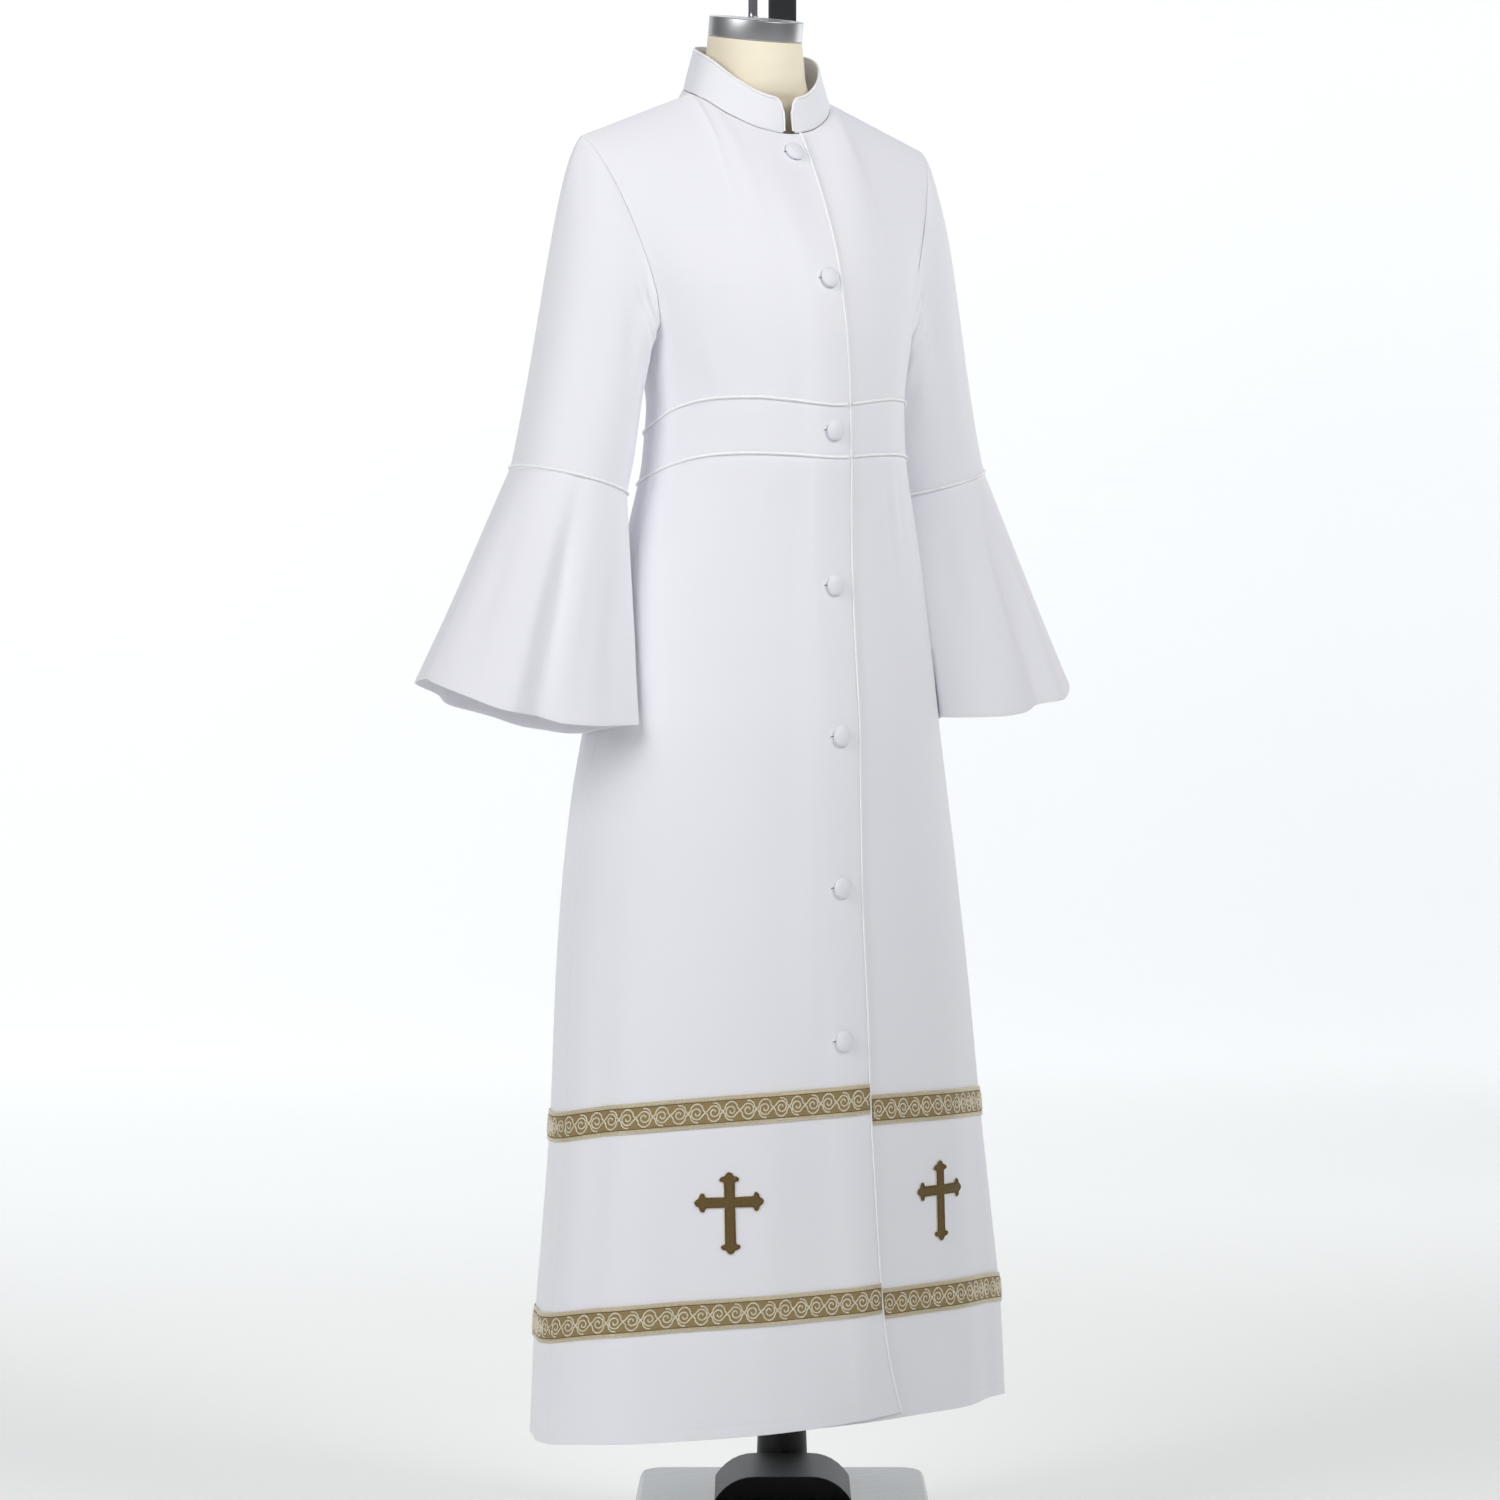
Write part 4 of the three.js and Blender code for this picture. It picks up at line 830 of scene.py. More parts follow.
CLOTH = RobeCloth("white_polyester_twill", "F6F6FB", 0.62)
PIPING = PipingSatin("satin_piping", "FDFDFF", 0.42)
BUTTON = RobeCloth("covered_button_twill", "EFEFF6", 0.55)
THREAD = PipingSatin("white_sewing_thread", "F4F4FA", 0.5)
# grey cord for the buttonholes' slits: its colour is the painted shade inside each open slit
SLIT_SHADE = PipingSatin("shaded_buttonhole_slit", "7F8090", 0.8)
BRAID = BraidGround("woven_gold_braid", "A58F66", 0.5, 0.2)
SCROLL = MetalThread("champagne_metal_thread", "FBF6E6", 0.4, 0.2, dark="CDBE95")
EDGE_THREAD = MetalThread("glittering_edge_thread", "EFE6CC", 0.32, 0.35, dark="BDAE86")
CROSS_CLOTH = MetalThread("brown_gold_metal_cloth", "7C663A", 0.42, 0.4, dark="665430")
CROSS_RIM = MetalThread("dark_brown_gold_thread", "6E5A33", 0.5, 0.3, dark="5A4929")
JERSEY = FormJersey("undyed_cotton_jersey", "FFF6DE", 0.9)
STEEL = BrushedSteel("brushed_stainless_steel", "C6C8CA", 0.34, 1.0)
CHROME = Chrome("polished_chrome", "E3E5E8", 0.1, 1.0)
ENAMEL = GlossEnamel("grey_gloss_enamel", "3B3D40", 0.32)
POWDER = SatinPaint("black_powder_coat", "141517", 0.45)
ABS = MouldedPlastic("black_moulded_abs", "121315", 0.5)


def keep(
    mesh: bpy.types.Mesh | bmesh.types.BMesh, name: str, finish: Finish, slot: str
) -> bpy.types.Object:
    """Makes a finished mesh a piece that rides on the one body.

    Args:
        mesh: the mesh, or a bmesh, which is freed.
        name: the piece's name.
        finish: its finish.
        slot: not used.

    Returns:
        The piece.
    """
    if isinstance(mesh, bmesh.types.BMesh):
        data = bpy.data.meshes.new(name)
        mesh.to_mesh(data)
        mesh.free()
    else:
        data = mesh
    piece = bpy.data.objects.new(name, data)
    bpy.context.scene.collection.objects.link(piece)
    data.materials.clear()
    data.materials.append(finish.material())
    data.polygons.foreach_set("use_smooth", [True] * len(data.polygons))
    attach(piece, BODY)
    return piece


def spun(profile: Sequence[tuple[float, float]], steps: int) -> bmesh.types.BMesh:
    """Returns a profile of (radius, height) in millimetres, spun round its own axis in steps."""
    mesh = bmesh.new()
    verts = [mesh.verts.new((r * MM, 0, z * MM)) for r, z in profile]
    edges = [mesh.edges.new(pair) for pair in zip(verts, verts[1:])]
    bmesh.ops.spin(
        mesh,
        geom=[*verts, *edges],
        cent=(0, 0, 0),
        axis=(0, 0, 1),
        angle=math.tau,
        steps=steps,
        use_merge=True,
    )
    bmesh.ops.remove_doubles(mesh, verts=mesh.verts, dist=JOINED)
    bmesh.ops.recalc_face_normals(mesh, faces=mesh.faces)
    return mesh


def thread_lengths(grid: Grid) -> tuple[list[list[float]], list[list[float]]]:
    """Returns how far each point of a grid lies along its row and along its column."""
    across: list[list[float]] = []
    for row in grid:
        run = [0.0]
        for a, b in zip(row, row[1:]):
            run.append(run[-1] + (b - a).length)
        across.append([value - run[-1] / 2 for value in run])
    up = [[0.0] * len(grid[0])]
    for below, above in zip(grid, grid[1:]):
        up.append([u + (b - a).length for u, a, b in zip(up[-1], below, above)])
    return across, up


def grid_mesh(grid: Grid, is_closed: bool = False) -> bmesh.types.BMesh:
    """Lays a grid of faces on points.

    Args:
        grid: rows of points in millimetres; across times up points out of the cloth.
        is_closed: whether each row's last point is its first one.

    Returns:
        The mesh in metres, with a UV map in metres along its threads.
    """
    rows, columns = len(grid), len(grid[0])
    mesh = bmesh.new()
    uv = mesh.loops.layers.uv.new("UVMap")
    bmesh.ops.create_grid(
        mesh, x_segments=columns - 1, y_segments=rows - 1, size=0.5, calc_uvs=True
    )
    across, up = thread_lengths(grid)
    place = {
        vert: (round((vert.co.y + 0.5) * (rows - 1)), round((vert.co.x + 0.5) * (columns - 1)))
        for vert in mesh.verts
    }
    for face in mesh.faces:
        for loop in face.loops:
            i, j = place[loop.vert]
            loop[uv].uv = (across[i][j] * MM, up[i][j] * MM)
    for vert, (i, j) in place.items():
        vert.co = metres(grid[i][j])
    if is_closed:
        bmesh.ops.remove_doubles(mesh, verts=mesh.verts, dist=JOINED)
    return mesh


def cloth(
    name: str, grid: Grid, finish: Finish, slot: str, is_closed: bool = False, wall: float = WALL
) -> bpy.types.Object:
    """Makes a sheet of cloth with real thickness and rounded cut edges.

    Args:
        name: the piece's name.
        grid: its outer face.
        finish: its finish.
        slot: passed on to keep(), which doesn't use it.
        is_closed: whether it is a tube.
        wall: its thickness in millimetres.

    Returns:
        The piece.
    """
    piece = keep(grid_mesh(grid, is_closed), name, finish, slot)
    thick = piece.modifiers.new("wall", "SOLIDIFY")
    thick.thickness = wall * MM
    thick.offset = -1
    thick.use_quality_normals = True
    edge = piece.modifiers.new("rolled_edge", "BEVEL")
    edge.width = 0.35 * wall * MM
    edge.segments = 2
    edge.limit_method = "ANGLE"
    edge.angle_limit = math.radians(60)
    return piece


def cord(
    name: str,
    runs: Iterable[Run],
    radius: float,
    finish: Finish,
    slot: str,
    sides: int = 8,
    is_closed: bool = False,
) -> bpy.types.Object:
    """Makes round cords on runs of points, joined in one mesh.

    Args:
        name: the piece's name.
        runs: the points of each cord, in millimetres.
        radius: the cords' radius in millimetres.
        finish: their finish.
        slot: passed on to keep(), which doesn't use it.
        sides: how many sides their section has, an even number.
        is_closed: whether each run closes on itself.

    Returns:
        The piece.
    """
    curve = bpy.data.curves.new(name + "_curve", "CURVE")
    curve.dimensions = "3D"
    curve.bevel_depth = radius * MM
    curve.bevel_resolution = sides // 2 - 2
    curve.use_fill_caps = True
    for run in runs:
        spline = curve.splines.new("POLY")
        spline.points.add(len(run) - 1)
        for knot, point in zip(spline.points, run):
            knot.co = (*metres(point), 1.0)
        spline.use_cyclic_u = is_closed
    holder = bpy.data.objects.new(name + "_holder", curve)
    bpy.context.scene.collection.objects.link(holder)
    shown = holder.evaluated_get(bpy.context.evaluated_depsgraph_get())
    mesh = bpy.data.meshes.new_from_object(shown)
    mesh.name = name
    bpy.data.objects.remove(holder)
    bpy.data.curves.remove(curve)
    return keep(mesh, name, finish, slot)


@dataclass(frozen=True)
class Cut:
    """The flat pattern of a sheet, as it was cut.

    Args:
        length: its length in millimetres.
        widths: its widths in millimetres at even steps up its length, from its lower edge.
    """

    length: float
    widths: tuple[float, ...]

    def flat(self) -> tuple[float, float]:
        """Returns its greatest width and its length in metres."""
        return max(self.widths) * MM, self.length * MM

    def area(self) -> float:
        """Returns its area in square metres."""
        strips = [(a + b) / 2 for a, b in zip(self.widths, self.widths[1:])]
        return sum(strips) / len(strips) * self.length * MM * MM


# The cuts are pattern sizes, rounded to 5 mm, and stand apart from the meshes.
CUTS = {
    "skirt_front_right": Cut(1020, (410, 370, 345, 330, 310, 270, 225)),
    "skirt_front_left": Cut(1015, (375, 360, 345, 335, 315, 270, 225)),
    "skirt_back": Cut(1015, (755, 720, 675, 630, 580, 520, 440)),
    "waistband_front_right": Cut(60, (225, 220, 220)),
    "waistband_front_left": Cut(60, (225, 225, 225)),
    "waistband_back": Cut(55, (440, 430, 425)),
    "bodice_front_right": Cut(365, (220, 225, 205, 205, 225, 250, 275)),
    "bodice_front_left": Cut(365, (225, 230, 210, 215, 240, 270, 290)),
    "bodice_back": Cut(395, (425, 425, 370, 365, 395, 440, 510)),
    "sleeve": Cut(350, (390, 390, 400, 395, 300, 190, 0)),
    "bell": Cut(260, (695, 640, 585, 535, 485, 435, 390)),
    "collar": Cut(42, (460, 445, 435)),
}


def declare_sheet(
    piece: bpy.types.Object,
    cut: Cut,
    rests_on: str,
) -> None:
    """Logs a sheet's name with the size and area of its written cut.

    Args:
        piece: the sheet.
        cut: its flat pattern.
        rests_on: not used.
    """
    cut.flat()
    cut.area()
    width, length = cut.flat()
    LOG.info("%s: cut %.3f by %.3f m, %.4f m2", piece.name, width, length, cut.area())


class Skirt:
    """The three skirt panels, with their turned-up hem."""

    BRAID_HEIGHT = 31.5
    MEAN_LEVELS = (0.0, 59.0, 118.0, 149.5, 237.0, 325.0, 356.5, 1012.0)
    STEPS = (16, 8, 6, 10, 10, 6, 66)
    HEM_CROWDING = 1.6
    GROOVE_WIDTH = 1.6
    GROOVE_DEPTH = 0.5
    FACING_RISE = 0.45
    FAR_OVER_HEM = 99.0
    STITCH_STEP = 3.6
    STITCH_SHARE = 0.62
    STITCH_SUNK = 0.25

    def level(self, panel: Panel, line: int, angle: float) -> float:
        """Returns the height of one of the lines that a panel's rows follow, the hem being 0."""
        hem = panel.line("hem", angle)
        low = panel.line("low_braid", angle)
        high = panel.line("high_braid", angle)
        tall = self.BRAID_HEIGHT
        levels = (
            hem,
            (hem + low) / 2,
            low,
            low + tall,
            (low + tall + high) / 2,
            high,
            high + tall,
            ROBE.waist("low", angle) - SEAM_GAP / 2,
        )
        return levels[line]

    def row(
        self, panel: Panel, line: int, share: float, out: float = 0.0, columns: int = 0
    ) -> Run:
        """Returns a row of a panel.

        Args:
            panel: the panel.
            line: the number of the line below the row.
            share: how far the row lies from that line to the next one.
            out: how far it lies outside the panel's face.
            columns: its steps, or the panel's own number.

        Returns:
            The points from the panel's first edge to its last.
        """
        guess = lerp(self.MEAN_LEVELS[line], self.MEAN_LEVELS[line + 1], share)
        first, last = panel.span(guess)
        points = []
        for angle in evenly(first, last, columns or panel.columns):
            height = lerp(self.level(panel, line, angle), self.level(panel, line + 1, angle), share)
            over_hem = height - panel.line("hem", angle)
            more = out + panel.out(angle) + self.relief(panel, angle, height, over_hem)
            points.append(ROBE.skin(angle, height, more))
        return points

    def outside(self, panel: Panel, angle: float, height: float, out: float) -> Vector:
        """Returns a point outside a panel's face, moved by the folds and creases under it."""
        relief = self.relief(panel, angle, height, self.FAR_OVER_HEM)
        return ROBE.skin(angle, height, out + panel.out(angle) + relief)

    def relief(self, panel: Panel, angle: float, height: float, over_hem: float) -> float:
        """Returns the low relief of the hem's turn-up and of the front facing's edge."""
        groove = (over_hem - ROBE.HEM_TURN_UP) / self.GROOVE_WIDTH
        found = -self.GROOVE_DEPTH * math.exp(-groove * groove) if abs(groove) < FOLD_REACH else 0.0
        if panel.label == "front_right":
            beside = ROBE.FRONT_EDGE.read("across", height) - ROBE.FACING
            across = ROBE.TRUNK.read("half", height) * sin(angle)
            found += self.FACING_RISE * smooth(across, beside - 4, beside + 1)
        return found

    def grid(self, panel: Panel) -> Grid:
        """Returns a panel's rows from the hem to the waistband."""
        rows = [self.row(panel, 0, 0.0)]
        for line, steps in enumerate(self.STEPS):
            for k in range(1, steps + 1):
                share = k / steps
                if line == 0:
                    share **= self.HEM_CROWDING
                rows.append(self.row(panel, line, share))
        return rows

    def hem_stitches(self, panel: Panel) -> list[Run]:
        """Returns the short runs of thread that hold the hem."""
        first, last = panel.span(0)
        step = math.degrees(self.STITCH_STEP / ROBE.TRUNK.read("half", 0))
        runs = []
        angle = first + step
        while angle < last - step:
            run = []
            for turned in (angle, angle + step * self.STITCH_SHARE):
                height = panel.line("hem", turned) + ROBE.HEM_TURN_UP
                run.append(ROBE.skin(turned, height, panel.out(turned) - self.STITCH_SUNK))
            runs.append(run)
            angle += step
        return runs

    def build(self, sewn_on: dict[str, list[bpy.types.Object]]) -> None:
        """Makes the panels and their stitches.

        Args:
            sewn_on: the pieces that are sewn on a panel, by the end of its name.
        """
        for panel in PANELS:
            grid = self.grid(panel)
            name = "skirt_" + panel.label
            piece = cloth(name + "_cloth", grid, CLOTH, "robe_cloth")
            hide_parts(name)
            stitches = cord(
                name + "_hem_stitches", self.hem_stitches(panel), 0.3, THREAD, "robe_cloth", 4
            )
            with_pieces = [stitches, *sewn_on.get(panel.label, [])]
            declare_sheet(piece, CUTS[name], "waistband_" + panel.label)


SKIRT = Skirt()


class Waistband:
    """The shaped band between skirt and bodice."""

    ROWS = 10

    def grid(self, panel: Panel) -> Grid:
        """Returns a band's rows; its columns pass from the skirt's to the bodice's."""
        rows = []
        for share in evenly(0, 1, self.ROWS):
            guess = lerp(ROBE.WAIST_LEVELS["low"], ROBE.WAIST_LEVELS["high"], share)
            first, last = panel.span(guess)
            even = evenly(first, last, panel.columns)
            crowded = panel.crowded(first, last, panel.columns)
            row = []
            for plain, close in zip(even, crowded):
                angle = lerp(plain, close, share)
                low = ROBE.waist("low", angle) + SEAM_GAP / 2
                height = lerp(low, ROBE.waist("high", angle) - SEAM_GAP / 2, share)
                row.append(ROBE.skin(angle, height, panel.out(angle)))
            rows.append(row)
        return rows

    def build(self) -> None:
        """Makes the three parts of the band."""
        for panel in PANELS:
            grid = self.grid(panel)
            name = "waistband_" + panel.label
            piece = cloth(name + "_cloth", grid, CLOTH, "robe_cloth")
            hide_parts(name)
            declare_sheet(piece, CUTS[name], "bodice_" + panel.label)


class Bodice:
    """The fronts and the back above the waistband, with the armholes and the shoulders."""

    LOW_ROWS = 12
    ARM_ROWS = 14
    SHOULDER_ROWS = 40
    BELOW = 181.0
    CHEST_TURN = 120.0
    ARMHOLE = Table(
        "turn height front back",
        (120, 1180, 73, 66),
        (140, 1150, 76, 73),
        (160, 1137, 83, 82),
        (180, 1132, 89.9, 89.9),
    )

    def rows(self, panel: Panel) -> list[tuple[float, Run]]:
        """Returns a bodice's rows.

        Args:
            panel: the panel.

        Returns:
            For each row the turn round the armhole at which it ends, and its points. Rows under
            the armhole have the turn BELOW.
        """
        made: list[tuple[float, Run]] = []
        for k in range(self.LOW_ROWS):
            share = k / self.LOW_ROWS
            guess = lerp(ROBE.WAIST_LEVELS["high"], ROBE.UNDERARM, share)
            first, last = panel.span(guess)
            run = []
            for angle in panel.crowded(first, last, panel.columns):
                low = ROBE.waist("high", angle) + SEAM_GAP / 2
                height = lerp(low, ROBE.UNDERARM, share)
                run.append(ROBE.skin(angle, height, panel.out(angle)))
            made.append((self.BELOW, run))
        for k in range(self.ARM_ROWS + 1):
            turn = lerp(180, self.CHEST_TURN, k / self.ARM_ROWS)
            height = self.ARMHOLE.read("height", turn)
            angles = self.span(panel, turn, height)
            run = [ROBE.skin(a, height, panel.out(a)) for a in angles]
            made.append((turn, run))
        for k in range(1, self.SHOULDER_ROWS + 1):
            rise = k / self.SHOULDER_ROWS
            angles = self.span(panel, self.CHEST_TURN, ROBE.CHEST)
            made.append((self.CHEST_TURN * (1 - rise), [self.over(panel, a, rise) for a in angles]))
        return made

    def span(self, panel: Panel, turn: float, height: float) -> list[float]:
        """Returns the angles of a row that ends at the armhole."""
        if panel.label == "back":
            reach = self.ARMHOLE.read("back", turn)
            return panel.crowded(180 - reach, 180 + reach, panel.columns)
        reach = self.ARMHOLE.read("front", turn)
        if panel.label == "front_right":
            return panel.crowded(-reach, ROBE.edge_angle(height), panel.columns)
        return panel.crowded(ROBE.LEFT_FRONT_EDGE, reach, panel.columns)

    def over(self, panel: Panel, angle: float, rise: float) -> Vector:
        """Returns a point between the chest and the upper edge of a panel."""
        if panel.label == "back":
            return ROBE.over_shoulder(180 - angle, rise, False)
        point = ROBE.over_shoulder(angle, rise, True)
        out = panel.out(angle)
        if not out:
            return point
        across = ROBE.over_shoulder(angle + 1, rise, True) - ROBE.over_shoulder(angle - 1, rise, True)
        up = ROBE.over_shoulder(angle, rise + 0.02, True) - ROBE.over_shoulder(angle, rise - 0.02, True)
        outward = across.cross(up).normalized()
        if rise == 1:
            outward.z = 0
        return point + outward * out

    def build(self) -> None:
        """Makes the three bodice panels."""
        for panel in PANELS:
            grid = [run for _, run in self.rows(panel)]
            name = "bodice_" + panel.label
            piece = cloth(name + "_cloth", grid, CLOTH, "robe_cloth")
            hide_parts(name)
            declare_sheet(piece, CUTS[name], "dress_form")


BODICE = Bodice()


@dataclass
class Sleeve:
    """A set-in sleeve and the bell sewn to it."""

    side: Side
    rows: int = 72
    bell_rows: int = 44
    bell_columns: int = 144
    seam_middle: Vector = field(default_factory=lambda: Vector((227.0, 25.0, 988.0)))
    seam_radius: float = 62.0
    lean: float = 14.6
    bell_middle: tuple[float, float] = (290.0, 25.0)
    clear: float = 4.0
    arm_top: tuple[float, float, float] = (178.0, 22.0, 1230.0)

    START = Table(
        "turn out front down pull seam_pull",
        (0, 0.82, 0, 0.57, 34, 150),
        (60, 0.88, 0.3, 0.37, 34, 130),
        (110, 0.92, 0.28, 0.27, 26, 100),
        (150, 0.98, 0.1, 0.17, 13, 90),
        (180, 1, 0, 0.1, 9, 88),
        (210, 0.98, -0.1, 0.17, 13, 90),
        (250, 0.92, -0.28, 0.27, 24, 100),
        (300, 0.88, -0.3, 0.37, 32, 130),
        (360, 0.82, 0, 0.57, 34, 150),
    )
    BELL_HEM = Table(
        "angle reach height",
        (0, 108, 786),
        (30, 104, 769),
        (55, 103, 754),
        (74, 86, 748),
        (92, 94, 740),
        (118, 110, 737),
        (142, 128, 737),
        (160, 100, 731),
        (180, 86, 726),
        (205, 96, 724),
        (230, 112, 728),
        (255, 92, 741),
        (280, 104, 753),
        (305, 90, 766),
        (335, 106, 780),
        (360, 108, 786),
    )
    CREASES = (
        Crease((118, 0.15), 12, 0.05, -5.27, 60),
        Crease((132, 0.22), 12, 0.06, 4.32, 80),
        Crease((112, 0.27), 11, 0.05, -3.92, 90),
        Crease((126, 0.36), 12, 0.08, 3.24, 60),
        Crease((104, 0.5), 11, 0.12, -2.97, 20),
        Crease((138, 0.62), 12, 0.12, -2.97, 20),
        Crease((20, 0.2), 14, 0.12, -1.62, 40),
        Crease((250, 0.18), 12, 0.06, -3.24, -60),
        Crease((236, 0.26), 12, 0.06, 2.7, -70),
        Crease((256, 0.36), 12, 0.09, -2.03, -40),
        Crease((300, 0.6), 13, 0.2, -1.89, -10),
        Crease((60, 0.72), 12, 0.2, -1.62, 10),
    )
    BELL_CREASES = (
        Crease((70, 0.5), 8, 0.36, -6.0),
        Crease((54, 0.6), 8, 0.36, 2.6),
        Crease((86, 0.6), 8, 0.36, 2.2),
        Crease((118, 0.62), 9, 0.3, -2.6),
        Crease((24, 0.6), 9, 0.34, -2.2),
        Crease((-20, 0.6), 10, 0.34, -2.4),
        Crease((230, 0.6), 10, 0.34, 2.4),
        Crease((262, 0.6), 10, 0.34, -3.0),
    )

    def on_side(self, point: Iterable[float]) -> Vector:
        """Returns a point of the left sleeve on this sleeve's side."""
        across, *rest = point
        return Vector((self.side.value * across, *rest))

    def axis(self) -> Vector:
        """Returns the way down the arm."""
        return self.on_side((sin(self.lean), 0, -cos(self.lean)))

    def ring(self, turn: float, radius: float, drop: float = 0.0) -> Vector:
        """Returns a point of the seam's ring; turn is 0 at the outer side and 90 at the front."""
        outward = self.on_side((cos(self.lean), 0, sin(self.lean)))
        front = Vector((0, -1, 0))
        across = outward * (radius * cos(turn)) + front * (radius * sin(turn))
        return self.on_side(self.seam_middle) + across + self.axis() * drop

    def armhole(self) -> list[tuple[float, Vector]]:
        """Returns the armhole's points with their turns, from the tip down the front and back up."""
        front = FRONT_RIGHT if self.side is Side.RIGHT else FRONT_LEFT
        front_edge = 0 if self.side is Side.RIGHT else -1
        back_edge = -1 if self.side is Side.RIGHT else 0
        down = [(turn, run[front_edge]) for turn, run in BODICE.rows(front) if turn <= 180]
        up = [(360 - turn, run[back_edge]) for turn, run in BODICE.rows(BACK) if turn < 180]
        return down[::-1] + up[:-1]

    def grid(self) -> Grid:
        """Returns the sleeve's rows from its seam up to the armhole."""
        columns = []
        for turn, point in self.armhole():
            out, front, down = (self.START.read(name, turn) for name in ("out", "front", "down"))
            way = self.on_side((out, -front, -down)).normalized()
            foot = self.ring(turn, self.seam_radius, -SEAM_GAP / 2)
            handles = (
                point + way * (SEAM_GAP * 1.2),
                point + way * self.START.read("pull", turn),
                foot - self.axis() * self.START.read("seam_pull", turn),
                foot,
            )
            columns.append((turn, handles))
        if self.side is Side.LEFT:
            columns.reverse()
        rows = []
        for k in range(self.rows, -1, -1):
            fall = k / self.rows
            row = [self.creased(turn, bezier(*handles, fall), fall) for turn, handles in columns]
            rows.append([*row, row[0]])
        return rows

    def creased(self, turn: float, point: Vector, fall: float) -> Vector:
        """Moves a point of the sleeve out from the arm's middle line by its creases."""
        depth = sum(crease.at(turn, fall) for crease in self.CREASES)
        if not depth:
            return point
        top, low = self.on_side(self.arm_top), self.on_side(self.seam_middle)
        share = min(1.0, max(0.0, (top.z - point.z) / (top.z - low.z)))
        away = point - top.lerp(low, share)
        away.z = 0
        return point + away.normalized() * depth

    def clear_of_skirt(self, point: Vector) -> Vector:
        """Moves a point of the hanging bell out of the skirt beside it."""
        read = ROBE.TRUNK.read
        middle, half = read("middle", point.z), read("half", point.z)
        is_front = point.y < middle
        depth = read("front" if is_front else "back", point.z) + (middle if is_front else -middle)
        angle = math.degrees(math.atan2(point.x / half, -(point.y - middle) / depth))
        wall = ROBE.trunk(angle, point.z, self.clear)
        inside = math.hypot(point.x, point.y - middle) < math.hypot(wall.x, wall.y - middle)
        return wall if inside else point

    def bell(self) -> Grid:
        """Returns the bell's rows from its hem up to its seam."""
        rows = []
        for k in range(self.bell_rows, -1, -1):
            fall = k / self.bell_rows
            row = []
            for turn in evenly(0, 360, self.bell_columns):
                start = self.ring(turn, self.seam_radius, SEAM_GAP / 2)
                reach = self.BELL_HEM.read("reach", turn)
                across = self.bell_middle[0] + reach * cos(turn)
                back = self.bell_middle[1] - reach * sin(turn)
                end = self.on_side((across, back, self.BELL_HEM.read("height", turn)))
                deep = sum(crease.at(turn, fall) for crease in self.BELL_CREASES)
                outward = self.on_side((cos(turn), -sin(turn), 0))
                row.append(self.clear_of_skirt(start.lerp(end, fall) + outward * deep))
            rows.append(row if self.side is Side.RIGHT else row[::-1])
        return rows

    def build(self) -> None:
        """Makes the sleeve and its bell."""
        word = self.side.name.lower()
        for part, grid, rests in (
            ("sleeve", self.grid(), "bodice_back"),
            ("bell", self.bell(), "sleeve_" + word),
        ):
            name = f"{part}_{word}"
            piece = cloth(name + "_cloth", grid, CLOTH, "robe_cloth", is_closed=True)
            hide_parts(name)
            declare_sheet(piece, CUTS[part], rests)


class Collar:
    """The standing collar, open at the centre front with rounded upper corners."""

    ENDS = {"right": -5.0, "left": 10.0}
    ROUNDING = 11.0
    FOOT = 0.9
    CROWDING = 0.085
    WALL = 2.0
    COLUMNS = 160
    ROWS = 12

    def grid(self) -> Grid:
        """Returns the collar's rows from its seam to its top edge."""
        first = math.degrees(math.asin(self.ENDS["left"] / ROBE.NECK["half"]))
        last = 360 + math.degrees(math.asin(self.ENDS["right"] / ROBE.NECK["half"]))
        # The end columns stand closer together, where the corners are round.
        angles = [
            lerp(first, last, s - self.CROWDING * math.sin(math.tau * s) * abs(math.cos(math.pi * s)))
            for s in (k / self.COLUMNS for k in range(self.COLUMNS + 1))
        ]
        rows = []
        for share in evenly(0, 1, self.ROWS):
            row = []
            for angle in angles:
                base = ROBE.neck_point(ROBE.NECK, "base", angle) + Vector((0, 0, self.FOOT))
                top = ROBE.neck_point(ROBE.COLLAR_TOP, "top", angle)
                to_end = min(angle - first, last - angle)
                inside = min(1.0, math.radians(to_end) * ROBE.NECK["half"] / self.ROUNDING)
                drop = self.ROUNDING * (1 - math.sqrt(max(0.0, 1 - (1 - inside) ** 2)))
                cut = 1 - drop / (top - base).length
                row.append(base.lerp(top, share * cut))
            rows.append(row)
        return rows

    def build(self) -> Grid:
        """Makes the collar.

        Returns:
            Its grid, for the piping.
        """
        grid = self.grid()
        piece = cloth("collar_cloth", grid, CLOTH, "robe_cloth", wall=self.WALL)
        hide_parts("collar")
        declare_sheet(piece, CUTS["collar"], "bodice_back")
        return grid


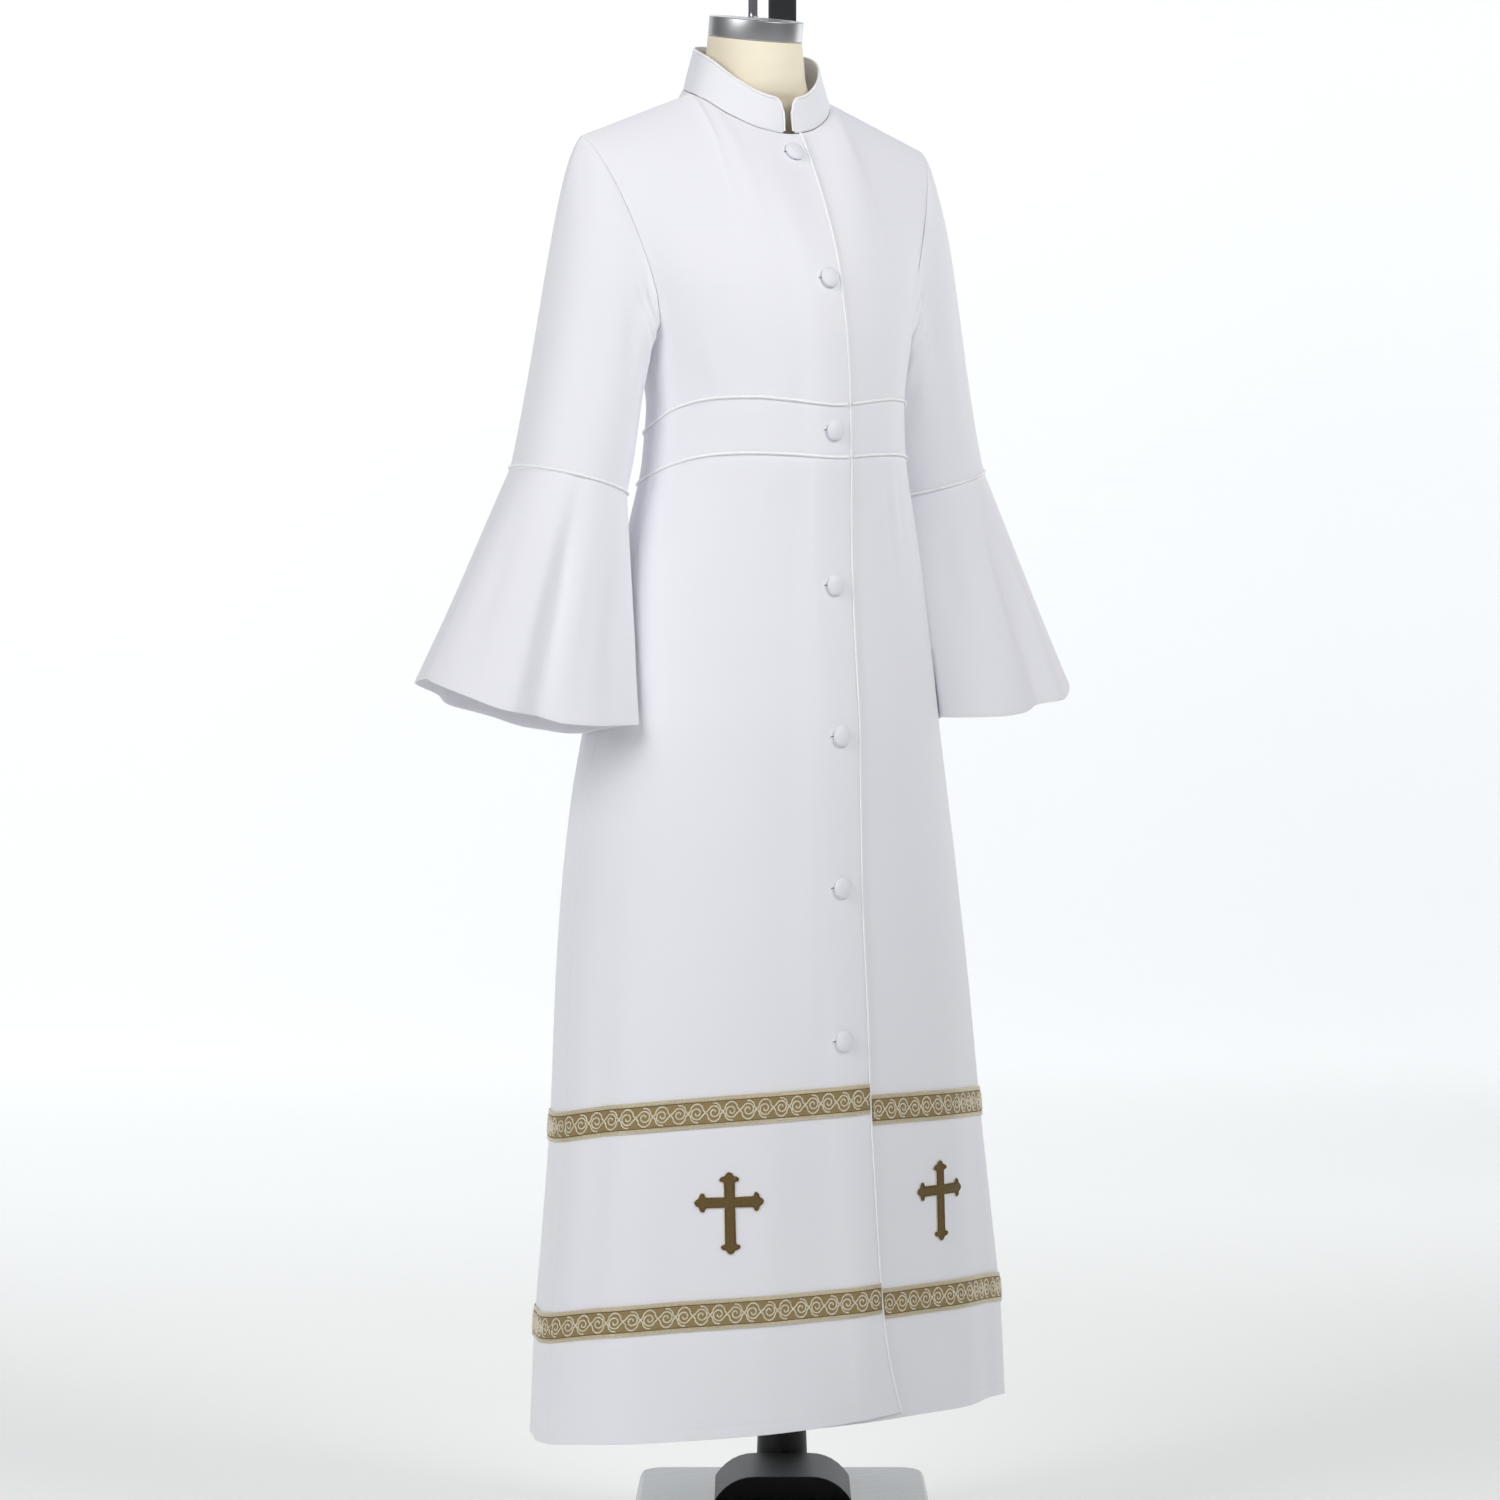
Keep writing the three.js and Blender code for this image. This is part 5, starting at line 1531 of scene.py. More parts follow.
class Braids:
    """Two rows of scroll braid round the skirt, cut off at each panel's edges."""

    GAP = 0.4
    THICK = 1.2
    ROWS = 6
    REPEAT = 36.0
    SPIRAL_TURNS = 1.35
    SPIRAL = (1.0, 6.7)
    LEVELS = {"low": 2, "high": 5}
    MARKS = 240
    END_ROOM = 0.6
    THREADS = (0.8, 2.6, 3.8)
    THREAD_LIFT = 0.1
    THREAD_RADIUS = 0.42
    SCROLL_LIFT = 0.15
    SCROLL_RADIUS = 0.8
    LAST_TURN = -62.0
    SPIRAL_STEPS = 26
    SPIRAL_CROWDING = 0.85
    LENGTHS = {
        "low": {"front_right": 380, "front_left": 290, "back": 740},
        "high": {"front_right": 350, "front_left": 285, "back": 680},
    }

    def start(self, panel: Panel, guess: float) -> float:
        """Returns the first angle of the braid, clear of the right front's piped edge."""
        first, _ = panel.span(guess)
        if panel.label != "front_left":
            return first
        across = ROBE.FRONT_EDGE.read("across", guess) + EDGE_ROOM
        return ROBE.angle_at(across, guess)

    def place(self, panel: Panel, line: int, angle: float, up: float, out: float) -> Vector:
        """Returns a point on the braid.

        Args:
            panel: the panel it is sewn on.
            line: the number of the line at its lower edge.
            angle: how far round the point lies.
            up: its height over the lower edge in millimetres.
            out: how far it lies outside the panel's face.

        Returns:
            The point, in millimetres.
        """
        return SKIRT.outside(panel, angle, SKIRT.level(panel, line, angle) + up, out)

    def angles(self, panel: Panel, line: int) -> tuple[float, float]:
        """Returns the braid's first and last angle."""
        guess = SKIRT.MEAN_LEVELS[line] + Skirt.BRAID_HEIGHT / 2
        return self.start(panel, guess), panel.span(guess)[1]

    def grid(self, panel: Panel, line: int) -> Grid:
        """Returns the braid's outer face."""
        first, last = self.angles(panel, line)
        out = self.GAP + self.THICK
        return [
            [self.place(panel, line, a, up, out) for a in evenly(first, last, panel.columns * 2)]
            for up in evenly(0, Skirt.BRAID_HEIGHT, self.ROWS)
        ]

    def unit(self) -> list[list[tuple[float, float]]]:
        """Returns the lines of one repeat, as (along, over the middle) in millimetres.

        One line runs out of a spiral, crosses over and runs into the next one. Two more cross
        it and pass round the spirals to the next crossing.
        """
        small, large = self.SPIRAL
        quarter = self.REPEAT / 4
        spiral = []
        for k in range(self.SPIRAL_STEPS + 1):
            share = k / self.SPIRAL_STEPS
            turn = self.LAST_TURN - 360 * self.SPIRAL_TURNS * (1 - share)
            reach = lerp(small, large, share**self.SPIRAL_CROWDING)
            spiral.append((quarter + reach * cos(turn), reach * sin(turn)))
        link = [(2 * quarter - 3.2, -2.9), (2 * quarter, 0.0)]
        half = spiral + link
        whole = half + [(4 * quarter - x, -y) for x, y in reversed(half[:-1])]
        over = [
            (quarter - 1.5, 9.6),
            (quarter + 2.4, 9.1),
            (quarter + 5.6, 6.4),
            (2 * quarter - 2.2, 2.4),
            (2 * quarter, 0.0),
        ]
        crossing = over + [(4 * quarter - x, -y) for x, y in reversed(over[:-1])]
        shifted = [(x + 2 * quarter, y) for x, y in crossing]
        mirrored = [(x, -y) for x, y in shifted]
        return [whole, crossing, shifted, mirrored]

    def scrolls(self, panel: Panel, line: int) -> list[Run]:
        """Returns the scroll lines of one braid, laid on it from edge to edge."""
        first, last = self.angles(panel, line)
        marks = evenly(first, last, self.MARKS)
        lengths = [0.0]
        points = [self.place(panel, line, a, Skirt.BRAID_HEIGHT / 2, self.THICK) for a in marks]
        for a, b in zip(points, points[1:]):
            lengths.append(lengths[-1] + (b - a).length)
        by_length = Table("along angle", *zip(lengths, marks))
        total = lengths[-1]
        out = self.GAP + self.THICK + self.SCROLL_LIFT
        LOG.info("braid over line %d on %s: %.0f mm long", line, panel.label, total)
        runs = []
        for k in range(-1, int(total / self.REPEAT) + 1):
            for pattern in self.unit():
                run: Run = []
                for x, y in pattern:
                    along = x + k * self.REPEAT
                    if not self.END_ROOM < along < total - self.END_ROOM:
                        continue
                    angle = by_length.read("angle", along)
                    run.append(self.place(panel, line, angle, Skirt.BRAID_HEIGHT / 2 + y, out))
                if len(run) > 2:
                    runs.append(run)
        return runs

    def edges(self, panel: Panel, line: int) -> list[Run]:
        """Returns the metal threads along the braid's two edges and beside its borders."""
        first, last = self.angles(panel, line)
        marks = evenly(first, last, panel.columns * 2)
        out = self.GAP + self.THICK + self.THREAD_LIFT
        levels = [*self.THREADS, *(Skirt.BRAID_HEIGHT - up for up in reversed(self.THREADS))]
        return [[self.place(panel, line, a, up, out) for a in marks] for up in levels]

    def build(self) -> None:
        """Makes the braids with their scrolls and edge threads."""
        for level, line in self.LEVELS.items():
            for panel in PANELS:
                name = f"braid_{level}_{panel.label}"
                grid = self.grid(panel, line)
                strip = cloth(name + "_strip", grid, BRAID, "gold_braid", wall=self.THICK)
                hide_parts(name)
                lines, threads = self.scrolls(panel, line), self.edges(panel, line)
                scroll = cord(name + "_scrolls", lines, self.SCROLL_RADIUS, SCROLL, "gold_braid", 4)
                edge = cord(name + "_edges", threads, self.THREAD_RADIUS, EDGE_THREAD, "gold_braid", 4)
                along = self.LENGTHS[level][panel.label]
                cut = Cut(Skirt.BRAID_HEIGHT, (along, along))
                declare_sheet(strip, cut, "skirt_" + panel.label)


@dataclass
class Cross:
    """An applied cross of metal cloth, with a dark thread on its edge and a pale one round it."""

    panel: Panel
    across: float
    height: float
    arm: float = 33.5
    rise: float = 30.5
    fall: float = 53.0
    bar: float = 4.7
    gap: float = 0.7
    thick: float = 0.9
    longest_edge: float = 4.0
    thread: float = 0.5
    thread_apart: float = 1.0

    # Half an arm's end: how far each corner lies from the arm's tip, and from its middle line.
    END = (
        (-11.2, 4.7),
        (-9.6, 5.4),
        (-8.6, 6.8),
        (-8.5, 8.4),
        (-7.3, 9.2),
        (-5.9, 8.6),
        (-4.8, 6.9),
        (-4.4, 4.6),
        (-3.2, 3.5),
        (-1.2, 2.4),
        (0.0, 0.0),
    )

    def outline(self) -> list[tuple[float, float]]:
        """Returns the outline from the lower right inner corner round, in millimetres."""
        points = []
        for turn, length in ((0, self.arm), (90, self.rise), (180, self.arm), (270, self.fall)):
            side = [(length + out, beside) for out, beside in self.END]
            arm = [(self.bar, -self.bar), *((x, -y) for x, y in side), *reversed(side[:-1])]
            for x, y in arm:
                points.append((x * cos(turn) - y * sin(turn), x * sin(turn) + y * cos(turn)))
        return points

    def on_skirt(self, x: float, y: float, out: float) -> Vector:
        """Returns the place on the skirt of a point of the flat cross."""
        height = self.height + y
        return SKIRT.outside(self.panel, ROBE.angle_at(self.across + x, height), height, out)

    def build(self, name: str) -> list[bpy.types.Object]:
        """Makes the cross and its two threads.

        Args:
            name: the cross's node.

        Returns:
            Its pieces, which are sewn on the skirt.
        """
        outline = self.outline()
        mesh = bmesh.new()
        corners = [mesh.verts.new((x * MM, y * MM, 0)) for x, y in outline]
        face = mesh.faces.new(corners)
        face.normal_update()  # a hollow outline is only cut up rightly with its normal known
        bmesh.ops.triangulate(mesh, faces=[face])
        for _ in range(3):
            long_edges = [e for e in mesh.edges if e.calc_length() > self.longest_edge * MM]
            bmesh.ops.subdivide_edges(mesh, edges=long_edges, cuts=1)
            bmesh.ops.triangulate(mesh, faces=mesh.faces[:])
        out = self.gap + self.thick
        for vert in mesh.verts:
            vert.co = metres(self.on_skirt(vert.co.x / MM, vert.co.y / MM, out))
        bmesh.ops.recalc_face_normals(mesh, faces=mesh.faces[:])
        if sum(f.normal.y for f in mesh.faces) > 0:
            bmesh.ops.reverse_faces(mesh, faces=mesh.faces[:])
        piece = keep(mesh, name + "_cloth", CROSS_CLOTH, "cross_cloth")
        thick = piece.modifiers.new("wall", "SOLIDIFY")
        thick.thickness = self.thick * MM
        thick.offset = -1
        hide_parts(name)
        dark = self.rim(name + "_rim", 0.0, self.gap + self.thick, CROSS_RIM)
        pale = self.rim(name + "_outline", self.thread_apart, self.gap, SCROLL)
        return [piece, dark, pale]

    def rim(self, name: str, beside: float, out: float, finish: Finish) -> bpy.types.Object:
        """Makes a thread round the cross.

        Args:
            name: its name.
            beside: how far it lies outside the outline.
            out: how far its middle lies outside the skirt.
            finish: its finish.

        Returns:
            The thread.
        """
        points = [Vector((x, y, 0)) for x, y in self.outline()]
        run = []
        for k, point in enumerate(points):
            ahead = (points[(k + 1) % len(points)] - point).normalized()
            behind = (point - points[k - 1]).normalized()
            away = (ahead + behind).cross(Vector((0, 0, 1))).normalized()
            moved = point + away * beside
            run.append(self.on_skirt(moved.x, moved.y, out))
        return cord(name, [run], self.thread, finish, "cross_cloth", 6, is_closed=True)


CROSSES = {"right": Cross(FRONT_RIGHT, -131.0, 247.3), "left": Cross(FRONT_LEFT, 131.0, 242.5)}


class Buttons:
    """Seven self-covered buttons down the front, each in its worked buttonhole."""

    HEIGHTS = (1331.0, 1197.6, 1040.4, 880.0, 724.0, 567.0, 408.0)
    ACROSS = -3.0
    PROFILE = ((0, 0), (8.4, 0), (10.4, 0.8), (11, 2.2), (10.2, 3.6), (7.4, 5.1), (3.8, 5.8), (0, 5.95))
    SEGMENTS = 40
    HOLE = 25.0
    HOLE_ENDS = (11.0, 6.0)  # how far past the button's middle the hole is worked, each way
    HOLE_STEPS = 36
    HOLE_RIM = (1.3, 1.35)
    HOLE_LIFT = 0.2
    SLIT_LIFT = 0.15
    SIT = 0.5

    def place(self, height: float, across: float) -> tuple[Vector, Vector]:
        """Returns a point of the right front and the way out there.

        Args:
            height: the point's height over the hem line.
            across: how far it lies to the wearer's left.

        Returns:
            The point in millimetres, and the unit vector.
        """
        if height > ROBE.CHEST:
            return self.over_chest(height, across)
        angle = ROBE.angle_at(across, height)
        if height < ROBE.WAIST_LEVELS["low"]:
            point = SKIRT.outside(FRONT_RIGHT, angle, height, 0.0)
        else:
            point = ROBE.skin(angle, height, FRONT_RIGHT.out(angle))
        return point, ROBE.normal(angle, height)

    def over_chest(self, height: float, across: float) -> tuple[Vector, Vector]:
        """Returns a point above the chest line and the way out there."""
        rise, angle = 0.5, across * 0.4
        for _ in range(24):
            point = BODICE.over(FRONT_RIGHT, angle, rise)
            rise = min(0.999, max(0.0, rise + (height - point.z) / 240))
            angle += (across - point.x) * 0.3
        point = BODICE.over(FRONT_RIGHT, angle, rise)
        beside = BODICE.over(FRONT_RIGHT, angle + 0.5, rise) - BODICE.over(FRONT_RIGHT, angle - 0.5, rise)
        above = BODICE.over(FRONT_RIGHT, angle, min(0.99, rise + 0.02)) - point
        return point, beside.cross(above).normalized()

    def button(self, name: str, point: Vector, way: Vector) -> bpy.types.Object:
        """Makes one domed button, turned from its profile."""
        mesh = spun(self.PROFILE, self.SEGMENTS)
        turn = way.to_track_quat("Z", "Y").to_matrix().to_4x4()
        bmesh.ops.transform(mesh, matrix=Matrix.Translation(metres(point)) @ turn, verts=mesh.verts)
        piece = keep(mesh, name + "_cover", BUTTON, "button_cloth")
        soft = piece.modifiers.new("soft", "SUBSURF")
        soft.levels = soft.render_levels = 1
        return piece

    def hole(self, name: str, height: float) -> None:
        """Makes the worked buttonhole that the button sits in."""
        before, after = self.HOLE_ENDS
        start, end = self.ACROSS - self.HOLE + before, self.ACROSS + after
        # painted shade: a thin grey cord lies along the slit, where the opening is in shade
        slit_shade = [self.lifted(height, across, self.SLIT_LIFT) for across in evenly(start + 1, end, 10)]
        cord(name + "_slit", [slit_shade], 0.35, SLIT_SHADE, "button_cloth", 4)
        wide, high = self.HOLE_RIM
        reach = (end - start) / 2 - wide
        rim = []
        for k in range(self.HOLE_STEPS):
            turn = 360 * k / self.HOLE_STEPS
            across = (start + end) / 2 + reach * math.copysign(abs(cos(turn)) ** 0.35, cos(turn))
            rim.append(self.lifted(height + high * sin(turn), across + wide * cos(turn), self.HOLE_LIFT))
        cord(name + "_hole", [rim], 0.5, THREAD, "button_cloth", 6, is_closed=True)

    def lifted(self, height: float, across: float, out: float) -> Vector:
        """Returns a point just outside the right front."""
        point, way = self.place(height, across)
        return point + way * out

    def build(self) -> None:
        """Makes the buttons and their holes."""
        for k, height in enumerate(self.HEIGHTS, start=1):
            name = f"button_{k}"
            point, way = self.place(height, self.ACROSS)
            piece = self.button(name, point + way * self.SIT, way)
            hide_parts(name)
            self.hole(name, height)


class Pipings:
    """The white piping of the seams, the front edge and the collar."""

    RADIUS = 1.45
    LIFT = 1.0
    EDGE_TURN = 1.2
    EDGE_GAP = 0.15
    COLLAR_GAP = 0.2

    def waist(self) -> None:
        """Pipes both edges of the waistband."""
        for panel in PANELS:
            for level in ("low", "high"):
                guess = ROBE.WAIST_LEVELS[level]
                first, last = panel.span(guess)
                if panel.label == "front_left":
                    first = ROBE.angle_at(ROBE.FRONT_EDGE.read("across", guess) + EDGE_ROOM, guess)
                if panel.label == "front_right":
                    last -= self.EDGE_TURN
                run = [
                    ROBE.skin(a, ROBE.waist(level, a), panel.out(a) + self.LIFT)
                    for a in evenly(first, last, panel.columns)
                ]
                self.sew(f"piping_waist_{level}_{panel.label}", run)

    def sew(self, node: str, run: Run) -> None:
        """Makes the cord that replaces a node."""
        piece = cord(node + "_cord", [run], self.RADIUS, PIPING, "piping_satin", 10)
        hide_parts(node)

    def front_edge(self) -> None:
        """Pipes the right front's edge from the neck to the hem in one run."""
        run: Run = []
        for grid in (SKIRT.grid(FRONT_RIGHT), Waistband().grid(FRONT_RIGHT)[1:]):
            run += [self.beside(row) for row in grid]
        run += [self.beside(row) for _, row in BODICE.rows(FRONT_RIGHT)[1:]]
        self.sew("piping_front_edge", run)

    def beside(self, row: Run) -> Vector:
        """Returns the cord's middle beside a row's last point."""
        outward = (row[-1] - row[-2]).normalized()
        back = Vector((0, 1, 0)) * (WALL / 2)
        return row[-1] + outward * (self.RADIUS + self.EDGE_GAP) + back

    def collar(self, grid: Grid) -> None:
        """Pipes the collar's ends and top."""
        top, below = grid[-1], grid[-2]
        beside = self.RADIUS + self.COLLAR_GAP
        run = []
        for k, (point, under) in enumerate(zip(top, below)):
            j = min(max(k, 1), len(top) - 2)
            across = (top[j + 1] - top[j - 1]).normalized()
            up = (point - under).normalized()
            run.append(point + up * beside + up.cross(across).normalized() * (Collar.WALL / 2))
        first, last = (
            [row[k] + Vector((side * beside, Collar.WALL / 2, 0)) for row in grid]
            for k, side in ((0, -1), (-1, 1))
        )
        self.sew("piping_collar", first[1:-1] + run + last[-2:0:-1])

    def sleeve(self, sleeve: Sleeve) -> None:
        """Pipes the seam between a sleeve and its bell."""
        reach = sleeve.seam_radius + self.LIFT
        run = [sleeve.ring(turn, reach) for turn in evenly(181, 539, 96)]
        self.sew("piping_sleeve_" + sleeve.side.name.lower(), run)


class DressForm:
    """The limbless form under the robe: jersey over papier-mache, with its seams."""

    SECTIONS = Table(
        "height half front back middle",
        (640, 150, 100, 112, 0),
        (655, 165, 112, 124, 0),
        (725, 172, 118, 128, 0),
        (800, 168, 116, 122, -4),
        (880, 156, 108, 110, -10),
        (950, 138, 100, 96, -14),
        (1011, 124, 96, 92, -16),
        (1066, 122, 98, 92, -14),
        (1132, 136, 104, 98, -8),
        (1180, 144, 100, 104, -2),
        (1240, 148, 80, 96, 4),
        (1290, 152, 56, 76, 12),
        (1320, 155, 46, 58, 16),
        (1342.7, 152, 40, 40, 18),
        (1356.7, 138, 36, 32, 18),
        (1372.7, 108, 36, 31, 18),
        (1384.7, 80, 40, 38, 19),
        (1396.7, 62, 47, 50, 19.5),
        (1412, 55, 50, 51, 19.5),
        (1432, 52.5, 50.5, 51, 19.5),
        (1455, 50, 49.5, 49.5, 19.5),
    )
    TILT = 9.0
    CAP_MIDDLE = 19.5
    TURNS = 96
    NECK_SEAM = 1371.0
    NECK_LINE = (1.3, 0.6)  # the neck seam's width and depth
    CENTRE_LINE = (1.6, 0.35)  # the centre seam's width in degrees, and its depth
    TILT_STARTS = (1400.0, 1440.0)

    def ring(self, height: float) -> Run:
        """Returns a ring of the form, closed on itself."""
        read = self.SECTIONS.read
        tilt = smooth(height, *self.TILT_STARTS) * math.tan(math.radians(self.TILT))
        wide, deep = self.NECK_LINE
        neck_seam = deep * math.exp(-(((height - self.NECK_SEAM) / wide) ** 2))
        wide, deep = self.CENTRE_LINE
        run = []
        for turn in evenly(0, 360, self.TURNS):
            less = neck_seam
            if height < self.NECK_SEAM:
                less += deep * math.exp(-((turn_to(turn) / wide) ** 2))
            depth = read("front" if cos(turn) > 0 else "back", height) - less
            x, y = (read("half", height) - less) * sin(turn), read("middle", height) - depth * cos(turn)
            run.append(Vector((x, y, height + tilt * (y - self.CAP_MIDDLE))))
        return run

    def build(self) -> None:
        """Makes the form, closed below and above."""
        heights = evenly(640, 1340, 50)[:-1] + evenly(1340, 1455, 60)
        mesh = grid_mesh([self.ring(h) for h in heights], is_closed=True)
        holes = [edge for edge in mesh.edges if edge.is_boundary]
        bmesh.ops.holes_fill(mesh, edges=holes, sides=0)
        bmesh.ops.recalc_face_normals(mesh, faces=mesh.faces)
        piece = keep(mesh, "dress_form_cover", JERSEY, "form_jersey")
        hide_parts("dress_form")


def turned_piece(
    name: str,
    profile: Sequence[tuple[float, float]],
    place: Matrix,
    finish: Finish,
    slot: str,
    segments: int,
) -> bpy.types.Object:
    """Turns a profile of (radius, height) in millimetres about its own axis.

    Args:
        name: the piece's name.
        profile: its outline, from the axis to the axis.
        place: where its own frame lies, in metres.
        finish: its finish.
        slot: passed on to keep(), which doesn't use it.
        segments: how many facets it has round its axis.

    Returns:
        The piece.
    """
    mesh = spun(profile, segments)
    bmesh.ops.transform(mesh, matrix=place, verts=mesh.verts)
    piece = keep(mesh, name, finish, slot)
    edge = piece.modifiers.new("rounded_edge", "BEVEL")
    edge.width = 0.5 * MM
    edge.segments = 3
    edge.limit_method = "ANGLE"
    edge.angle_limit = math.radians(35)
    return piece


def rounded_copy(name: str, node: str, finish: Finish, slot: str, round_by: float) -> bpy.types.Object:
    """Makes a piece with rounded edges from a plain hard part of the frame.

    Args:
        name: the piece's name.
        node: the part.
        finish: the piece's finish.
        slot: passed on to keep(), which doesn't use it.
        round_by: the width of its rounded edges in millimetres.

    Returns:
        The piece.
    """
    mesh = bmesh.new()
    mesh.from_mesh(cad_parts[node].data)
    bmesh.ops.remove_doubles(mesh, verts=mesh.verts, dist=0.00002)
    bmesh.ops.dissolve_limit(mesh, angle_limit=math.radians(1), verts=mesh.verts, edges=mesh.edges)
    sharp = [e for e in mesh.edges if e.is_manifold and e.calc_face_angle() > math.radians(28)]
    bmesh.ops.bevel(
        mesh,
        geom=sharp,
        offset=round_by * MM,
        segments=3,
        profile=0.5,
        affect="EDGES",
        material=-1,
        clamp_overlap=True,
    )
    piece = keep(mesh, name, finish, slot)
    piece.modifiers.new("flat_faces", "WEIGHTED_NORMAL").keep_sharp = True
    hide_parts(node)
    return piece


class Stand:
    """The neck cap, the hanging rod, the arm, the post and the cast base."""

    TURN = -33.0
    CAP_FOOT = 1455.4
    CAP = ((0, 0), (49.2, 0), (50, 0.8), (50, 20.2), (49.2, 21), (12, 21), (12, 20.4), (0, 20.4))
    ROD = (-12.5, 18.0)
    ROD_RADIUS = 5.5
    ROD_SPAN = (1478.3, 1559.2)
    SHELLS = (
        ("post_tube", "post", POWDER, "post_paint", 2.5),
        ("arm_tube", "arm", POWDER, "post_paint", 2.0),
        ("base_casting", "base", ENAMEL, "base_gloss", 2.2),
        ("pedal_housing_shell", "pedal_housing", ABS, "housing_plastic", 1.5),
        ("post_sleeve_shell", "post_sleeve", ABS, "housing_plastic", 0.8),
    )

    def cap(self) -> None:
        """Makes the brushed disc that closes the neck."""
        place = (
            Matrix.Translation(metres(Vector((0, DressForm.CAP_MIDDLE, self.CAP_FOOT))))
            @ Matrix.Rotation(math.radians(DressForm.TILT), 4, "X")
        )
        piece = turned_piece("neck_cap_disc", self.CAP, place, STEEL, "cap_metal", 96)
        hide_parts("neck_cap")

    def rod(self) -> None:
        """Makes the chrome rod that the form hangs on."""
        low, high = self.ROD_SPAN
        r = self.ROD_RADIUS
        profile = ((0, 0), (r, 0), (r, high - low), (0, high - low))
        turn = Matrix.Rotation(math.radians(self.TURN), 4, "Z")
        place = turn @ Matrix.Translation(metres(Vector((*self.ROD, low))))
        piece = turned_piece("hang_rod_bar", profile, place, CHROME, "rod_chrome", 40)
        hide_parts("hang_rod")

    def build(self) -> None:
        """Makes the stand's pieces."""
        self.cap()
        self.rod()
        for shell in self.SHELLS:
            rounded_copy(*shell)


